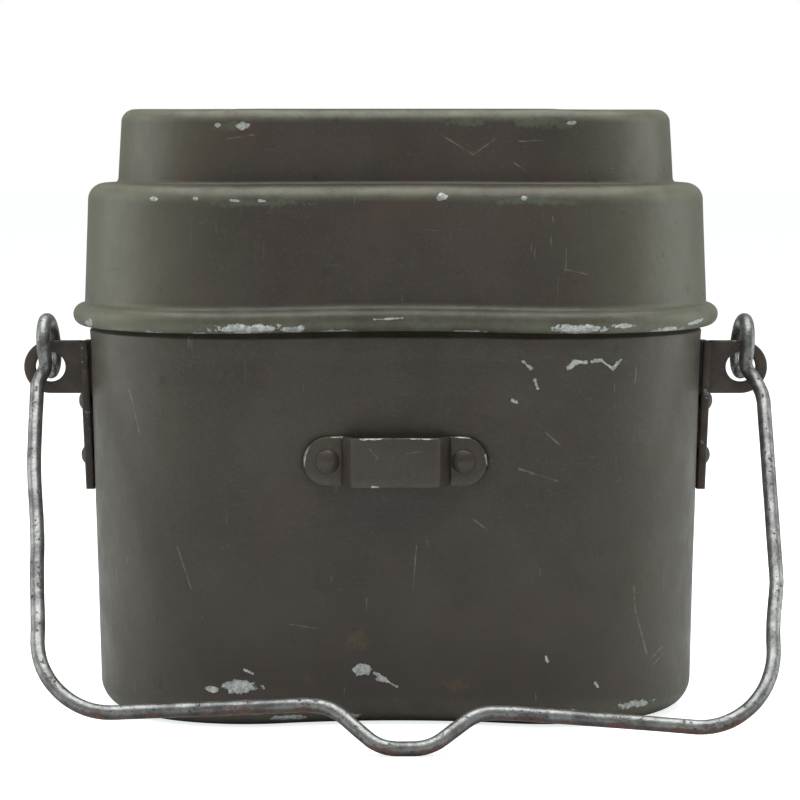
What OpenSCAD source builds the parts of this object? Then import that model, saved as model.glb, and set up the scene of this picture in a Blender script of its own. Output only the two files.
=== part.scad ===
// Two-part mess tin: a deep kidney-plan pot, a stepped lid that telescopes over its neck,
// a wire bail hung in two riveted ears, strap loops and a folding wire handle on the lid.
// The origin is the centre of the pot's base, +Z is up and -Y is the hollow front.

/* [Plan shape] */
// Length of the pot at the top of its wall, end to end
body_l = 180; // [150:1:220]
// Radius of the two rounded ends
end_r = 47; // [38:1:58]
// Depth of the shallow hollow along the front
front_dip = 6; // [3:0.5:10]
// Bulge of the back beyond the rounded ends
back_bulge = 8; // [4:0.5:14]

/* [Pot] */
// Height of the pot to its rim
pot_h = 152; // [125:0.1:185]
// Thickness of the drawn sheet
sheet = 1; // [0.8:0.1:1.4]
// Lean of the pot's wall from upright, in degrees
pot_draft = 1.5; // [0.5:0.05:3]
// Radius of the rounded edge round the base
base_r = 9; // [6:0.5:14]
// How far the neck is set in from the pot's wall
neck_inset = 2.2; // [1.8:0.1:3.2]
// Height of the sloping shoulder between the wall and the neck
neck_slope_h = 2; // [1:0.1:4]

/* [Lid] */
// Height of the lower tier, from under the bead to the shoulder
skirt_h = 41.5; // [32:0.5:55]
// Height of the upper tier above the shoulder
crown_h = 21.6; // [14:0.2:32]
// How far the upper tier is set in from the lower one
crown_step = 8.9; // [8:0.1:14]
// Lean of the lower tier from upright, in degrees
skirt_draft = 2.1; // [0.5:0.1:4]
// Lean of the upper tier from upright, in degrees
crown_draft = 3.4; // [1:0.1:6]
// Radius of the rounded shoulder
shoulder_r = 5; // [3:0.1:6]
// Radius of the rounded top edge
crown_r = 4; // [2:0.1:6]
// Radius of the fillet where the upper tier meets the shoulder
foot_r = 1.5; // [0.8:0.1:2]
// Room between the pot's neck and the inside of the lid's lower tier
lid_clearance = 1.4; // [1:0.1:2]
// Gap between the pot's rim and the lid that rests on it
seat_gap = 0.3; // [0.2:0.05:0.6]
// Outer radius of the rolled bead round the lid's mouth
bead_r = 3.2; // [2.8:0.1:3.6]
// Diameter of the wire rolled into the bead
rim_wire_d = 3.2; // [2.5:0.1:3.4]

/* [Ears] */
// Distance of each ear's hole beyond the end of the pot
ear_out = 11.7; // [10:0.1:16]
// Distance of each ear's hole below the lid's bead
ear_drop = 12.7; // [10:0.1:25]
// Radius of the hole in the ear
ear_hole_r = 4.4; // [3.8:0.1:6]
// Radius of the ear's round end
ear_r = 7.8; // [7:0.1:10]
// Thickness of the ear brackets
ear_t = 2.5; // [1.5:0.1:3]
// Height of the bracket's flange
flange_h = 43.5; // [36:0.5:60]
// Width of the flange that runs back along the wall
flange_w = 14; // [11:0.5:20]
// How far the flange's top stands off the wall
flange_gap = 0.8; // [0.3:0.1:1]
// Distance of the upper rivet below the flange's top
upper_rivet_drop = 18; // [16:0.5:20]
// Distance between the flange's two rivets
ear_rivet_pitch = 16.2; // [12:0.2:20]

/* [Bail] */
// Diameter of the bail's wire
wire_d = 4.1; // [3:0.1:4.5]
// Radius of the eye's centre line
eye_r = 7.65; // [7:0.05:9]
// Play of the wire in the ear's hole
eye_play = 0.25; // [0.2:0.05:0.5]
// How far forward the bail leans when its grip rests on the ground, in degrees
bail_rest = 39; // [36:0.5:60]
// How far each leg stands outside its eye at the bail's lower corner, on average
bail_flare = 0.9; // [-3:0.1:3]
// Sideways set of the grip
bail_skew = 2.9; // [0:0.1:3]
// Bend radius of the lower corners
bail_corner_r = 24; // [15:1:32]
// Depth of the dip in the grip
grip_depth = 11; // [7:0.5:16]
// Bend radius in the grip's dip
grip_r = 10; // [7:0.5:14]
// Half of the straight run at the bottom of the dip
grip_flat = 3.7; // [2:0.1:12]

/* [Strap loops] */
// Overall length of a strap loop
loop_l = 53; // [46:1:64]
// Height of a strap loop
loop_h = 14.1; // [11:0.1:20]
// Thickness of a strap loop
loop_t = 1.5; // [1:0.1:2]
// Clearance between the folded handle's grip and the strap loops below it
handle_loop_gap = 2.4; // [1.5:0.1:12]
// Length of the raised bridge
bridge_l = 24; // [20:0.5:30]
// Clear depth under the bridge
bridge_gap = 5.6; // [5:0.1:8]
// Distance of each loop rivet from the middle
loop_rivet_x = 19.4; // [18.6:0.1:26]

/* [Rivets] */
// Diameter of the rivet heads
rivet_head_d = 7; // [5.5:0.1:8]
// Height of the rivet heads
rivet_head_h = 1.6; // [1:0.1:2]
// Diameter of the rivet shanks
rivet_d = 3.2; // [2:0.1:4]

/* [Lid handle] */
// Diameter of the handle's wire
handle_wire_d = 3.5; // [2.5:0.1:4]
// Width of the handle between the centre lines of its legs
handle_w = 66; // [62:1:80]
// Length of the handle from its hinge to the bottom bar
handle_l = 38; // [32:1:39]
// Length of the bracket that holds the hinge
hinge_l = 48; // [40:1:50]
// Thickness of the hinge bracket
hinge_t = 1.2; // [0.8:0.1:1.6]
// Height of the hinge above the lid's bead
hinge_rise = 6.5; // [6:0.1:8]
// Distance of the bracket's rivets above the hinge
hinge_rivet_rise = 10; // [9:0.5:12]
// Distance of each bracket rivet from the middle
hinge_rivet_x = 15; // [8:0.5:18]
// Bend radius of the handle's lower corners
handle_r = 12; // [8:1:18]

/* [Hidden] */
$fn = 48;

paint = "#4b473d";
lid_paint = "#545044";
aluminium = "#a3a29b";
steel = "#77736c";
dark_steel = "#4c463e";

// Gap between pieces that are riveted together
lay_gap = 0.2;
// Radial room round a rivet's shank
shank_gap = 0.1;
// Steps along each rounded end, the back and a small fillet, and the longest step in the front hollow
end_steps = 16;
back_steps = 7;
dip_step = 9;
fillet_steps = 4;

// The plan is four tangent arcs: two ends, a long back arc and a hollow front arc.
end_c = body_l / 2 - end_r;
dip_y = end_r - front_dip;
dip_r = (end_c * end_c + dip_y * dip_y - end_r * end_r) / (2 * front_dip);
dip_cy = -(dip_y + dip_r);
dip_a = atan(end_c / -dip_cy);
dip_steps = ceil(2 * dip_a * PI / 180 * dip_r / dip_step);
back_y = end_r + back_bulge;
back_r = (end_c * end_c + back_y * back_y - end_r * end_r) / (2 * back_bulge);
back_cy = back_y - back_r;
back_a = atan(end_c / -back_cy);

// Heights and offsets of the lid, which is seated on the pot's rim at its shoulder fillet
inner_shoulder_r = shoulder_r - sheet;
seat_reach = max(inner_shoulder_r - lid_clearance, 0);
shoulder_cz = pot_h - sqrt(pow(inner_shoulder_r - seat_gap, 2) - pow(seat_reach, 2));
shoulder_z = shoulder_cz + shoulder_r;
lid_z = shoulder_z - skirt_h;
top_z = shoulder_z + crown_h;
bead_z = lid_z + bead_r;
hinge_z = bead_z + bead_r + hinge_rise;
loop_z = hinge_z - handle_l - handle_wire_d / 2 - handle_loop_gap - loop_h / 2;
skirt_top_o = sheet + lid_clearance - neck_inset;
skirt_foot_o = skirt_top_o + (shoulder_cz - bead_z - bead_r) * tan(skirt_draft);
bead_o = skirt_foot_o + 0.2;
channel_r = bead_r - sheet;
crown_foot_o = skirt_top_o - crown_step;
crown_top_o = crown_foot_o - (crown_h - foot_r - crown_r) * tan(crown_draft);

// The pot's neck starts just above the underside of the lid's bead.
neck_z = lid_z + 0.5;
wall_top_z = neck_z - neck_slope_h;
function wall_o(z) = -(wall_top_z - z) * tan(pot_draft);
function skirt_o(z) = skirt_top_o + (shoulder_cz - z) * tan(skirt_draft);

// Ears, and the bail's eyes that rest in their holes
wire_r = wire_d / 2;
ear_x = body_l / 2 + ear_out;
ear_z = lid_z - ear_drop;
flange_z = ear_z + ear_r - 0.5 - flange_h;
flange_lean = atan((flange_gap - lay_gap) / flange_h) + pot_draft;
flange_o = wall_o(flange_z) + lay_gap;
upper_rivet_z = flange_z + flange_h - upper_rivet_drop;
lower_rivet_z = upper_rivet_z - ear_rivet_pitch;
ear_rivet_yaw = asin(flange_w * 0.58 / end_r);
eye_room = ear_hole_r - wire_r - eye_play;
eye_x = ear_x + 0.7 * eye_room;
eye_z = ear_z + eye_r - sqrt(1 - 0.49) * eye_room;

// The bail's run in its own plane, measured down from the eyes' axis
bail_reach = (eye_z - wire_r) / cos(bail_rest);
bar_t = bail_reach - grip_depth;
grip_a = 40;
grip_ramp = (grip_depth - 2 * grip_r * (1 - cos(grip_a))) / sin(grip_a);
grip_half = grip_flat + 2 * grip_r * sin(grip_a) + grip_ramp * cos(grip_a);
neck_bend_r = 4;
neck_t = sqrt(pow(eye_r + neck_bend_r, 2) - pow(neck_bend_r, 2));
neck_a = acos(neck_bend_r / (eye_r + neck_bend_r));
eye_a = 360 - 28 - (90 - neck_a);

// The strap loops' steep ramps end short of the rivet heads.
loop_ramp_a = 64;
loop_ramp = (bridge_gap - lay_gap) / tan(loop_ramp_a);

// The lid's handle and its hinge
handle_wire_r = handle_wire_d / 2;
hinge_bore_r = handle_wire_r + 0.25;
hinge_r = hinge_bore_r + hinge_t;
hinge_y = back_y + skirt_o(hinge_z) + lay_gap + hinge_t + hinge_r;
hinge_rivet_z = hinge_z + hinge_rivet_rise;
hinge_plate_h = hinge_rivet_rise + rivet_head_d / 2 + 1;

// Joints between runs of wire are covered by a short collar a hair wider than the wire.
collar_extra = 0.1;
collar_l = 0.7;
run_gap = 0.15;

function arc(cx, cy, r, a0, a1, n) =
    [for (i = [0:n - 1]) [cx + r * cos(a0 + (a1 - a0) * i / n), cy + r * sin(a0 + (a1 - a0) * i / n)]];

// The plan outline, moved outward by o
function outline(o) = concat(
    arc(end_c, 0, end_r + o, -90 - dip_a, 90 - back_a, end_steps),
    arc(0, back_cy, back_r + o, 90 - back_a, 90 + back_a, back_steps),
    arc(-end_c, 0, end_r + o, 90 + back_a, 270 + dip_a, end_steps),
    arc(0, dip_cy, dip_r - o, 90 + dip_a, 90 - dip_a, dip_steps));

function fillet(co, cz, r, a0, a1, n) =
    [for (i = [0:n]) [co + r * cos(a0 + (a1 - a0) * i / n), cz + r * sin(a0 + (a1 - a0) * i / n)]];

// A closed skin from a profile of [offset, height] points, capped at its first and last ring
module drawn_skin(profile) {
    n = len(outline(0));
    m = len(profile);
    points = concat([[0, 0, profile[0][1]], [0, 0, profile[m - 1][1]]],
        [for (p = profile) for (q = outline(p[0])) [q[0], q[1], p[1]]]);
    function at(k, i) = 2 + k * n + i % n;
    faces = concat(
        [for (i = [0:n - 1]) [0, at(0, i), at(0, i + 1)]],
        [for (k = [0:m - 2]) for (i = [0:n - 1]) [at(k, i), at(k + 1, i), at(k + 1, i + 1)]],
        [for (k = [0:m - 2]) for (i = [0:n - 1]) [at(k, i), at(k + 1, i + 1), at(k, i + 1)]],
        [for (i = [0:n - 1]) [at(m - 1, i), 1, at(m - 1, i + 1)]]);
    polyhedron(points = points, faces = faces, convexity = 6);
}

// Frames on the walls: local +Z points outward, square to a wall that leans by "lean"
module on_end(yaw, o, z, lean) {
    translate([end_c, 0, 0]) rotate([0, 0, yaw]) translate([end_r + o, 0, z])
        rotate([0, 90 + lean, 0]) children();
}
module on_front(x, o, z, lean) {
    translate([0, dip_cy, 0]) rotate([0, 0, 90 - asin(x / dip_r)])
        translate([dip_r - o, 0, z]) rotate([0, -90 - lean, 0]) children();
}
module on_back(x, o, z, lean) {
    translate([0, back_cy, 0]) rotate([0, 0, 90 - asin(x / back_r)])
        translate([back_r + o, 0, z]) rotate([0, 90 + lean, 0]) children();
}

// A rivet whose head sits on z = 0 and whose formed tail lies "grip" below it
module rivet(grip) {
    dome_r = (pow(rivet_head_d / 2, 2) + pow(rivet_head_h, 2)) / (2 * rivet_head_h);
    intersection() {
        translate([0, 0, rivet_head_h - dome_r]) sphere(dome_r);
        cylinder(h = rivet_head_h + 1, r = rivet_head_d / 2 + 1);
    }
    translate([0, 0, -grip - 0.4]) cylinder(h = grip + 0.6, d = rivet_d);
    translate([0, 0, -grip - 0.9]) cylinder(h = 0.9, d = rivet_d + 1.8);
}
module rivet_hole(depth) {
    translate([0, 0, -depth]) cylinder(h = depth + 2, r = rivet_d / 2 + shank_gap);
}

// Grip lengths of the three kinds of rivet: what they clamp, with a little room
ear_grip = ear_t + sheet + flange_gap + lay_gap + 0.25;
loop_grip = loop_t + sheet + 2 * lay_gap + 0.2;
hinge_grip = hinge_t + sheet + 2 * lay_gap + 0.2;
flange_face_o = flange_o + ear_t / cos(flange_lean);
function flange_at(z) = flange_face_o + (z - flange_z) * tan(flange_lean);

module ear_rivet_place(z) {
    on_end(ear_rivet_yaw, flange_at(z), z, flange_lean) children();
}
module front_rivet_place(s) {
    on_front(s * loop_rivet_x, wall_o(loop_z) + lay_gap + loop_t, loop_z, pot_draft) children();
}
module back_rivet_place(s) {
    on_back(s * loop_rivet_x, wall_o(loop_z) + lay_gap + loop_t, loop_z, pot_draft) children();
}
module hinge_rivet_place(s) {
    on_back(s * hinge_rivet_x, skirt_o(hinge_rivet_z) + lay_gap + hinge_t, hinge_rivet_z, -skirt_draft)
        children();
}

module pot_shell() {
    base_o = wall_o(base_r) - base_r;
    neck_o = -neck_inset;
    profile = concat(
        fillet(base_o, base_r, base_r, -90, 0, fillet_steps + 1),
        [[0, wall_top_z], [neck_o, neck_z], [neck_o, pot_h], [neck_o - sheet, pot_h],
            [neck_o - sheet, neck_z - 0.4], [-sheet, wall_top_z - 0.4]],
        fillet(base_o, base_r, base_r - sheet, 0, -90, fillet_steps + 1));
    color(paint) difference() {
        drawn_skin(profile);
        for (side = [0, 1]) mirror([side, 0, 0])
            for (z = [upper_rivet_z, lower_rivet_z])
                ear_rivet_place(z) rivet_hole(ear_grip + 4);
        for (s = [-1, 1]) {
            front_rivet_place(s) rivet_hole(loop_grip + 4);
            back_rivet_place(s) rivet_hole(loop_grip + 4);
        }
    }
}

module lid_shell() {
    wall_a = acos((skirt_foot_o - bead_o) / bead_r);
    inner_a = acos((skirt_foot_o - sheet - bead_o) / channel_r);
    end_a = -222;
    shoulder_o = skirt_top_o - shoulder_r;
    crown_o = crown_top_o - crown_r;
    crown_cz = top_z - crown_r;
    inside = concat(
        fillet(crown_o, crown_cz, crown_r - sheet, 90, 0, fillet_steps),
        fillet(crown_foot_o + foot_r, shoulder_z + foot_r, foot_r + sheet, 180, 270, 3),
        fillet(shoulder_o, shoulder_cz, inner_shoulder_r, 90, 0, fillet_steps + 1));
    bead = concat(
        fillet(bead_o, bead_z, channel_r, inner_a, end_a, 9),
        fillet(bead_o, bead_z, bead_r, end_a, wall_a, 13));
    outside = concat(
        fillet(shoulder_o, shoulder_cz, shoulder_r, 0, 90, fillet_steps + 1),
        fillet(crown_foot_o + foot_r, shoulder_z + foot_r, foot_r, 270, 180, 3),
        fillet(crown_o, crown_cz, crown_r, 0, 90, fillet_steps));
    color(lid_paint) difference() {
        drawn_skin(concat(inside, bead, outside));
        for (s = [-1, 1]) hinge_rivet_place(s) rivet_hole(hinge_grip + 4);
    }
}

// A short collar that covers the joint between two runs of wire; the wire runs along Z
module collar(r) {
    translate([0, 0, -collar_l / 2]) cylinder(h = collar_l, r = r + collar_extra);
}
// A bend that starts at the origin heading +Z and turns towards +X
module bend(wr, r, a) {
    translate([r, 0, 0]) rotate([90, 0, 0]) rotate([0, 0, 180 - a]) rotate_extrude(angle = a)
        translate([r, 0]) circle(wr);
}
// Runs of wire laid end to end; each is [roll, straight length, bend radius, bend angle],
// with a slight sideways kink before the bend as a fifth value where there is one
module wire_run(wr, runs, i = 0) {
    if (i < len(runs)) {
        s = runs[i];
        rotate([0, 0, s[0]]) {
            if (s[1] > 2 * run_gap)
                translate([0, 0, run_gap]) cylinder(h = s[1] - 2 * run_gap, r = wr);
            translate([0, 0, s[1]]) rotate([len(s) > 4 ? s[4] : 0, 0, 0]) {
                collar(wr);
                if (s[3] > 0) {
                    trim = asin(run_gap / s[2]);
                    translate([s[2], 0, 0]) rotate([0, trim, 0]) translate([-s[2], 0, 0])
                        bend(wr, s[2], s[3] - 2 * trim);
                    translate([s[2] * (1 - cos(s[3])), 0, s[2] * sin(s[3])]) rotate([0, s[3], 0])
                        union() {
                            if (i + 1 < len(runs) && runs[i + 1][1] > 0) collar(wr);
                            wire_run(wr, runs, i + 1);
                        }
                }
            }
        }
    }
}

module lid_rim_wire() {
    wr = rim_wire_d / 2;
    color(steel) translate([0, 0, bead_z]) {
        for (side = [0, 1]) mirror([side, 0, 0]) {
            translate([end_c, 0, 0]) rotate([0, 0, -90 - dip_a + 0.2])
                rotate_extrude(angle = 180 + dip_a - back_a - 0.4)
                    translate([end_r + bead_o, 0]) circle(wr);
            for (a = [-90 - dip_a, 90 - back_a])
                translate([end_c, 0, 0]) rotate([0, 0, a]) translate([end_r + bead_o, 0, 0])
                    rotate([90, 0, 0]) collar(wr);
        }
        translate([0, back_cy, 0]) rotate([0, 0, 90 - back_a + 0.05])
            rotate_extrude(angle = 2 * back_a - 0.1) translate([back_r + bead_o, 0]) circle(wr);
        translate([0, dip_cy, 0]) rotate([0, 0, 90 - dip_a + 0.05])
            rotate_extrude(angle = 2 * dip_a - 0.1) translate([dip_r - bead_o, 0]) circle(wr);
    }
}

// One half of the bail, from the middle of its grip to the eye on side s
module bail_half(s) {
    leg_t = bar_t - bail_corner_r - neck_t;
    lean = atan(-(bail_flare + s * bail_skew) / leg_t);
    turn = 90 - lean;
    leg_l = (bar_t - bail_corner_r * (1 - cos(turn)) - neck_t) / sin(turn);
    bar_l = eye_x - leg_l * cos(turn) - bail_corner_r * sin(turn) - s * bail_skew - grip_half;
    translate([s * bail_skew, 0, -bail_reach]) rotate([0, 90, 0]) {
        wire_run(wire_r, [
            [180, grip_flat, grip_r, grip_a],
            [180, grip_ramp, grip_r, grip_a],
            [180, bar_l, bail_corner_r, turn],
            [90, leg_l, neck_bend_r, neck_a, lean],
            [180, 0, eye_r, eye_a]]);
    }
}

module bail() {
    color(steel) translate([0, 0, eye_z]) rotate([-bail_rest, 0, 0]) {
        bail_half(1);
        mirror([1, 0, 0]) bail_half(-1);
        translate([bail_skew, 0, -bail_reach]) rotate([0, 90, 0]) collar(wire_r);
    }
}

// Steel angle: a flange against the pot's end wall and a round ear that stands out from it
module ear_bracket() {
    color(dark_steel) difference() {
        union() {
            translate([end_c, 0, 0]) rotate([0, 0, -asin(ear_t / 2 / end_r)])
                rotate_extrude(angle = asin(flange_w / end_r), $fn = 96)
                    polygon([
                        [end_r + flange_o, flange_z],
                        [end_r + flange_face_o, flange_z],
                        [end_r + flange_at(flange_z + flange_h), flange_z + flange_h],
                        [end_r + flange_o + flange_h * tan(flange_lean), flange_z + flange_h]]);
            rotate([90, 0, 0]) linear_extrude(ear_t, center = true) {
                translate([ear_x, ear_z]) circle(ear_r);
                polygon([
                    [end_c + end_r + flange_at(ear_z - ear_r) - ear_t / 2, ear_z - ear_r],
                    [ear_x, ear_z - ear_r],
                    [ear_x, ear_z + ear_r - 0.5],
                    [end_c + end_r + flange_at(ear_z + ear_r - 0.5) - ear_t / 2,
                        ear_z + ear_r - 0.5]]);
            }
        }
        translate([ear_x, 0, ear_z]) rotate([90, 0, 0])
            cylinder(h = ear_t + 4, r = ear_hole_r, center = true);
        for (z = [upper_rivet_z, lower_rivet_z]) ear_rivet_place(z) rivet_hole(ear_t + 2);
    }
}

module right_ear_bracket() { ear_bracket(); }
module left_ear_bracket() { mirror([1, 0, 0]) ear_bracket(); }

module ear_rivet(z) {
    color(dark_steel) ear_rivet_place(z) translate([0, 0, 0.05]) rivet(ear_grip);
}
module right_ear_upper_rivet() { ear_rivet(upper_rivet_z); }
module right_ear_lower_rivet() { ear_rivet(lower_rivet_z); }
module left_ear_upper_rivet() { mirror([1, 0, 0]) ear_rivet(upper_rivet_z); }
module left_ear_lower_rivet() { mirror([1, 0, 0]) ear_rivet(lower_rivet_z); }

// Plan ribbon of a strap loop: r is the arc's radius, cy its centre and g +1 on the convex back
function loop_point(r, cy, g, s, h) = [
    (r + g * h) * sin(s / r * 180 / PI),
    cy + (r + g * h) * cos(s / r * 180 / PI)];
function loop_edge(r, cy, g, h, corner) = [
    for (p = [
        [-loop_l / 2 - 2, 0], [-loop_l / 2 + 5, 0], [-bridge_l / 2 - loop_ramp - corner, 0],
        [-bridge_l / 2 - corner, 1], [-bridge_l / 4, 1], [0, 1], [bridge_l / 4, 1],
        [bridge_l / 2 + corner, 1], [bridge_l / 2 + loop_ramp + corner, 0],
        [loop_l / 2 - 5, 0], [loop_l / 2 + 2, 0]])
    loop_point(r, cy, g, p[0], h + p[1] * (bridge_gap - lay_gap))];
function reversed(list) = [for (i = [len(list) - 1:-1:0]) list[i]];

module loop_plate(r, cy, g, wall_y, lean) {
    intersection() {
        translate([0, wall_y, loop_z]) rotate([lean, 0, 0]) translate([0, -wall_y, -loop_h])
            linear_extrude(2 * loop_h)
                polygon(concat(loop_edge(r, cy, g, lay_gap, 0),
                    reversed(loop_edge(r, cy, g, lay_gap + loop_t, loop_t * tan(loop_ramp_a / 2)))));
        translate([0, wall_y, loop_z]) rotate([90, 0, 0]) linear_extrude(40, center = true) {
            square([loop_l - loop_h, loop_h], center = true);
            for (s = [-1, 1]) translate([s * (loop_l - loop_h) / 2, 0]) circle(d = loop_h);
        }
    }
}

module front_strap_loop() {
    r = dip_r - wall_o(loop_z);
    color(dark_steel) difference() {
        loop_plate(r, dip_cy, -1, dip_cy + r, pot_draft);
        for (s = [-1, 1]) front_rivet_place(s) rivet_hole(loop_t + 2);
    }
}
module back_strap_loop() {
    r = back_r + wall_o(loop_z);
    color(dark_steel) difference() {
        loop_plate(r, back_cy, 1, back_cy + r, -pot_draft);
        for (s = [-1, 1]) back_rivet_place(s) rivet_hole(loop_t + 2);
    }
}
// The flat head sits a little proud on the hollow front, where only its rim bears.
module loop_rivet(rise) {
    color(dark_steel) translate([0, 0, rise]) rivet(loop_grip + rise);
}
module front_loop_left_rivet() { front_rivet_place(-1) loop_rivet(0.2); }
module front_loop_right_rivet() { front_rivet_place(1) loop_rivet(0.2); }
module back_loop_left_rivet() { back_rivet_place(-1) loop_rivet(0.05); }
module back_loop_right_rivet() { back_rivet_place(1) loop_rivet(0.05); }

// Plate that follows the lid's back and carries a straight barrel for the handle's wire
module lid_handle_bracket() {
    half_a = asin(hinge_l / 2 / back_r);
    plate_r = back_r + lay_gap;
    plate_top = hinge_z + hinge_plate_h;
    reach = back_r * (1 - cos(half_a));
    color(dark_steel) difference() {
        union() {
            translate([0, back_cy, 0]) rotate([0, 0, 90 - half_a])
                rotate_extrude(angle = 2 * half_a, $fn = 96) polygon([
                    [plate_r + skirt_o(hinge_z), hinge_z],
                    [plate_r + skirt_o(hinge_z) + hinge_t, hinge_z],
                    [plate_r + skirt_o(plate_top) + hinge_t, plate_top],
                    [plate_r + skirt_o(plate_top), plate_top]]);
            translate([0, hinge_y, hinge_z]) rotate([0, 90, 0])
                cylinder(h = hinge_l - 1, r = hinge_r, center = true);
            translate([0, back_cy, 0]) intersection() {
                rotate([0, 0, 90 - half_a]) rotate_extrude(angle = 2 * half_a, $fn = 96)
                    translate([plate_r + skirt_o(hinge_z), hinge_z + hinge_r - hinge_t])
                        square([hinge_r + reach + hinge_t, hinge_t]);
                translate([-hinge_l / 2 + 0.5, 0, 0])
                    cube([hinge_l - 1, hinge_y - back_cy, hinge_z + hinge_r + 1]);
            }
        }
        translate([0, hinge_y, hinge_z]) rotate([0, 90, 0])
            cylinder(h = hinge_l + 10, r = hinge_bore_r, center = true);
        for (s = [-1, 1]) hinge_rivet_place(s) rivet_hole(hinge_t + 2);
    }
}
module hinge_rivet(s) {
    color(dark_steel) hinge_rivet_place(s) translate([0, 0, 0.05]) rivet(hinge_grip);
}
module lid_handle_left_rivet() { hinge_rivet(-1); }
module lid_handle_right_rivet() { hinge_rivet(1); }

module lid_handle() {
    small_r = 6;
    color(steel) translate([0, hinge_y, hinge_z])
        for (side = [0, 1]) mirror([side, 0, 0]) {
            rotate([0, 90, 0]) wire_run(handle_wire_r, [
                [0, handle_w / 2 - small_r, small_r, 90],
                [0, handle_l - small_r - handle_r, handle_r, 90],
                [0, handle_w / 2 - handle_r, 0, 0]]);
        }
}

pot_shell();
lid_shell();
lid_rim_wire();
bail();
left_ear_bracket();
right_ear_bracket();
left_ear_upper_rivet();
left_ear_lower_rivet();
right_ear_upper_rivet();
right_ear_lower_rivet();
front_strap_loop();
front_loop_left_rivet();
front_loop_right_rivet();
back_strap_loop();
back_loop_left_rivet();
back_loop_right_rivet();
lid_handle_bracket();
lid_handle_left_rivet();
lid_handle_right_rivet();
lid_handle();
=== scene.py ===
"""Looks of the mess tin: worn olive-brown paint over aluminium, pitted steel wire and riveted brackets."""
import math

import bmesh
import bpy
from mathutils import Matrix, Vector, noise


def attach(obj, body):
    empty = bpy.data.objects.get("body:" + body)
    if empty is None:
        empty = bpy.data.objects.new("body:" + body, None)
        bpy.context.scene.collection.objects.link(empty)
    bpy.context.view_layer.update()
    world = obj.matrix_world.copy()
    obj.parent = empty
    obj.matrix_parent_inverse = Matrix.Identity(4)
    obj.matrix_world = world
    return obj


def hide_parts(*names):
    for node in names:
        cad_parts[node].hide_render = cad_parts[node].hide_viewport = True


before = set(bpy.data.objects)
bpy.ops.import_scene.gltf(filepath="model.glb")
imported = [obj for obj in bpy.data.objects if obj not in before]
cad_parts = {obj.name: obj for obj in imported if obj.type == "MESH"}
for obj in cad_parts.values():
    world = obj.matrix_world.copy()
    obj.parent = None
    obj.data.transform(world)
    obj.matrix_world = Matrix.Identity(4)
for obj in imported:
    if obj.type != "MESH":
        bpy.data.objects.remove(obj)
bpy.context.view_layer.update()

MM = 0.001

# Sizes in millimetres, the same as the part's own
BODY_L, END_R, FRONT_DIP, BACK_BULGE = 180.0, 47.0, 6.0, 8.0
POT_H, SHEET, POT_DRAFT, BASE_R = 152.0, 1.0, 1.5, 9.0
NECK_INSET, NECK_SLOPE_H = 2.2, 2.0
SKIRT_H, CROWN_H, CROWN_STEP = 41.5, 21.6, 8.9
SKIRT_DRAFT, CROWN_DRAFT = 2.1, 3.4
SHOULDER_R, CROWN_R, FOOT_R = 5.0, 4.0, 1.5
LID_CLEARANCE, SEAT_GAP, BEAD_R = 1.4, 0.3, 3.2
EAR_OUT, EAR_DROP, EAR_HOLE_R, EAR_R, EAR_T = 11.7, 12.7, 4.4, 7.8, 2.5
FLANGE_H, FLANGE_W, FLANGE_GAP = 43.5, 14.0, 0.8
UPPER_RIVET_DROP, EAR_RIVET_PITCH = 18.0, 16.2
WIRE_D, EYE_R, EYE_PLAY, BAIL_REST = 4.1, 7.65, 0.25, 39.0
BAIL_FLARE, BAIL_SKEW, BAIL_CORNER_R = 0.9, 2.9, 24.0
GRIP_DEPTH, GRIP_R, GRIP_FLAT, GRIP_A = 11.0, 10.0, 3.7, 40.0
NECK_BEND_R = 4.0
LOOP_L, LOOP_H, LOOP_T, HANDLE_LOOP_GAP = 53.0, 14.1, 1.5, 2.4
BRIDGE_L, BRIDGE_GAP, LOOP_RIVET_X, LOOP_RAMP_A = 24.0, 5.6, 19.4, 64.0
RIVET_HEAD_D, RIVET_HEAD_H, RIVET_D = 7.0, 1.6, 3.2
HANDLE_WIRE_D, HANDLE_W, HANDLE_L = 3.5, 66.0, 38.0
HINGE_L, HINGE_T, HINGE_RISE = 48.0, 1.2, 6.5
HINGE_RIVET_RISE, HINGE_RIVET_X, HANDLE_R, HANDLE_HINGE_R = 10.0, 15.0, 12.0, 6.0
LAY_GAP = 0.2


def tand(a):
    return math.tan(math.radians(a))


def sind(a):
    return math.sin(math.radians(a))


def cosd(a):
    return math.cos(math.radians(a))


def share(value, start, end):
    """How far a value has gone from start to end, kept within 0 and 1."""
    return min(max((value - start) / (end - start), 0), 1)


# The plan: two ends, a long back arc and a hollow front arc, all tangent
END_C = BODY_L / 2 - END_R
DIP_Y = END_R - FRONT_DIP
DIP_R = (END_C ** 2 + DIP_Y ** 2 - END_R ** 2) / (2 * FRONT_DIP)
DIP_CY = -(DIP_Y + DIP_R)
DIP_A = math.degrees(math.atan(END_C / -DIP_CY))
BACK_Y = END_R + BACK_BULGE
BACK_R = (END_C ** 2 + BACK_Y ** 2 - END_R ** 2) / (2 * BACK_BULGE)
BACK_CY = BACK_Y - BACK_R
BACK_A = math.degrees(math.atan(END_C / -BACK_CY))

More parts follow.
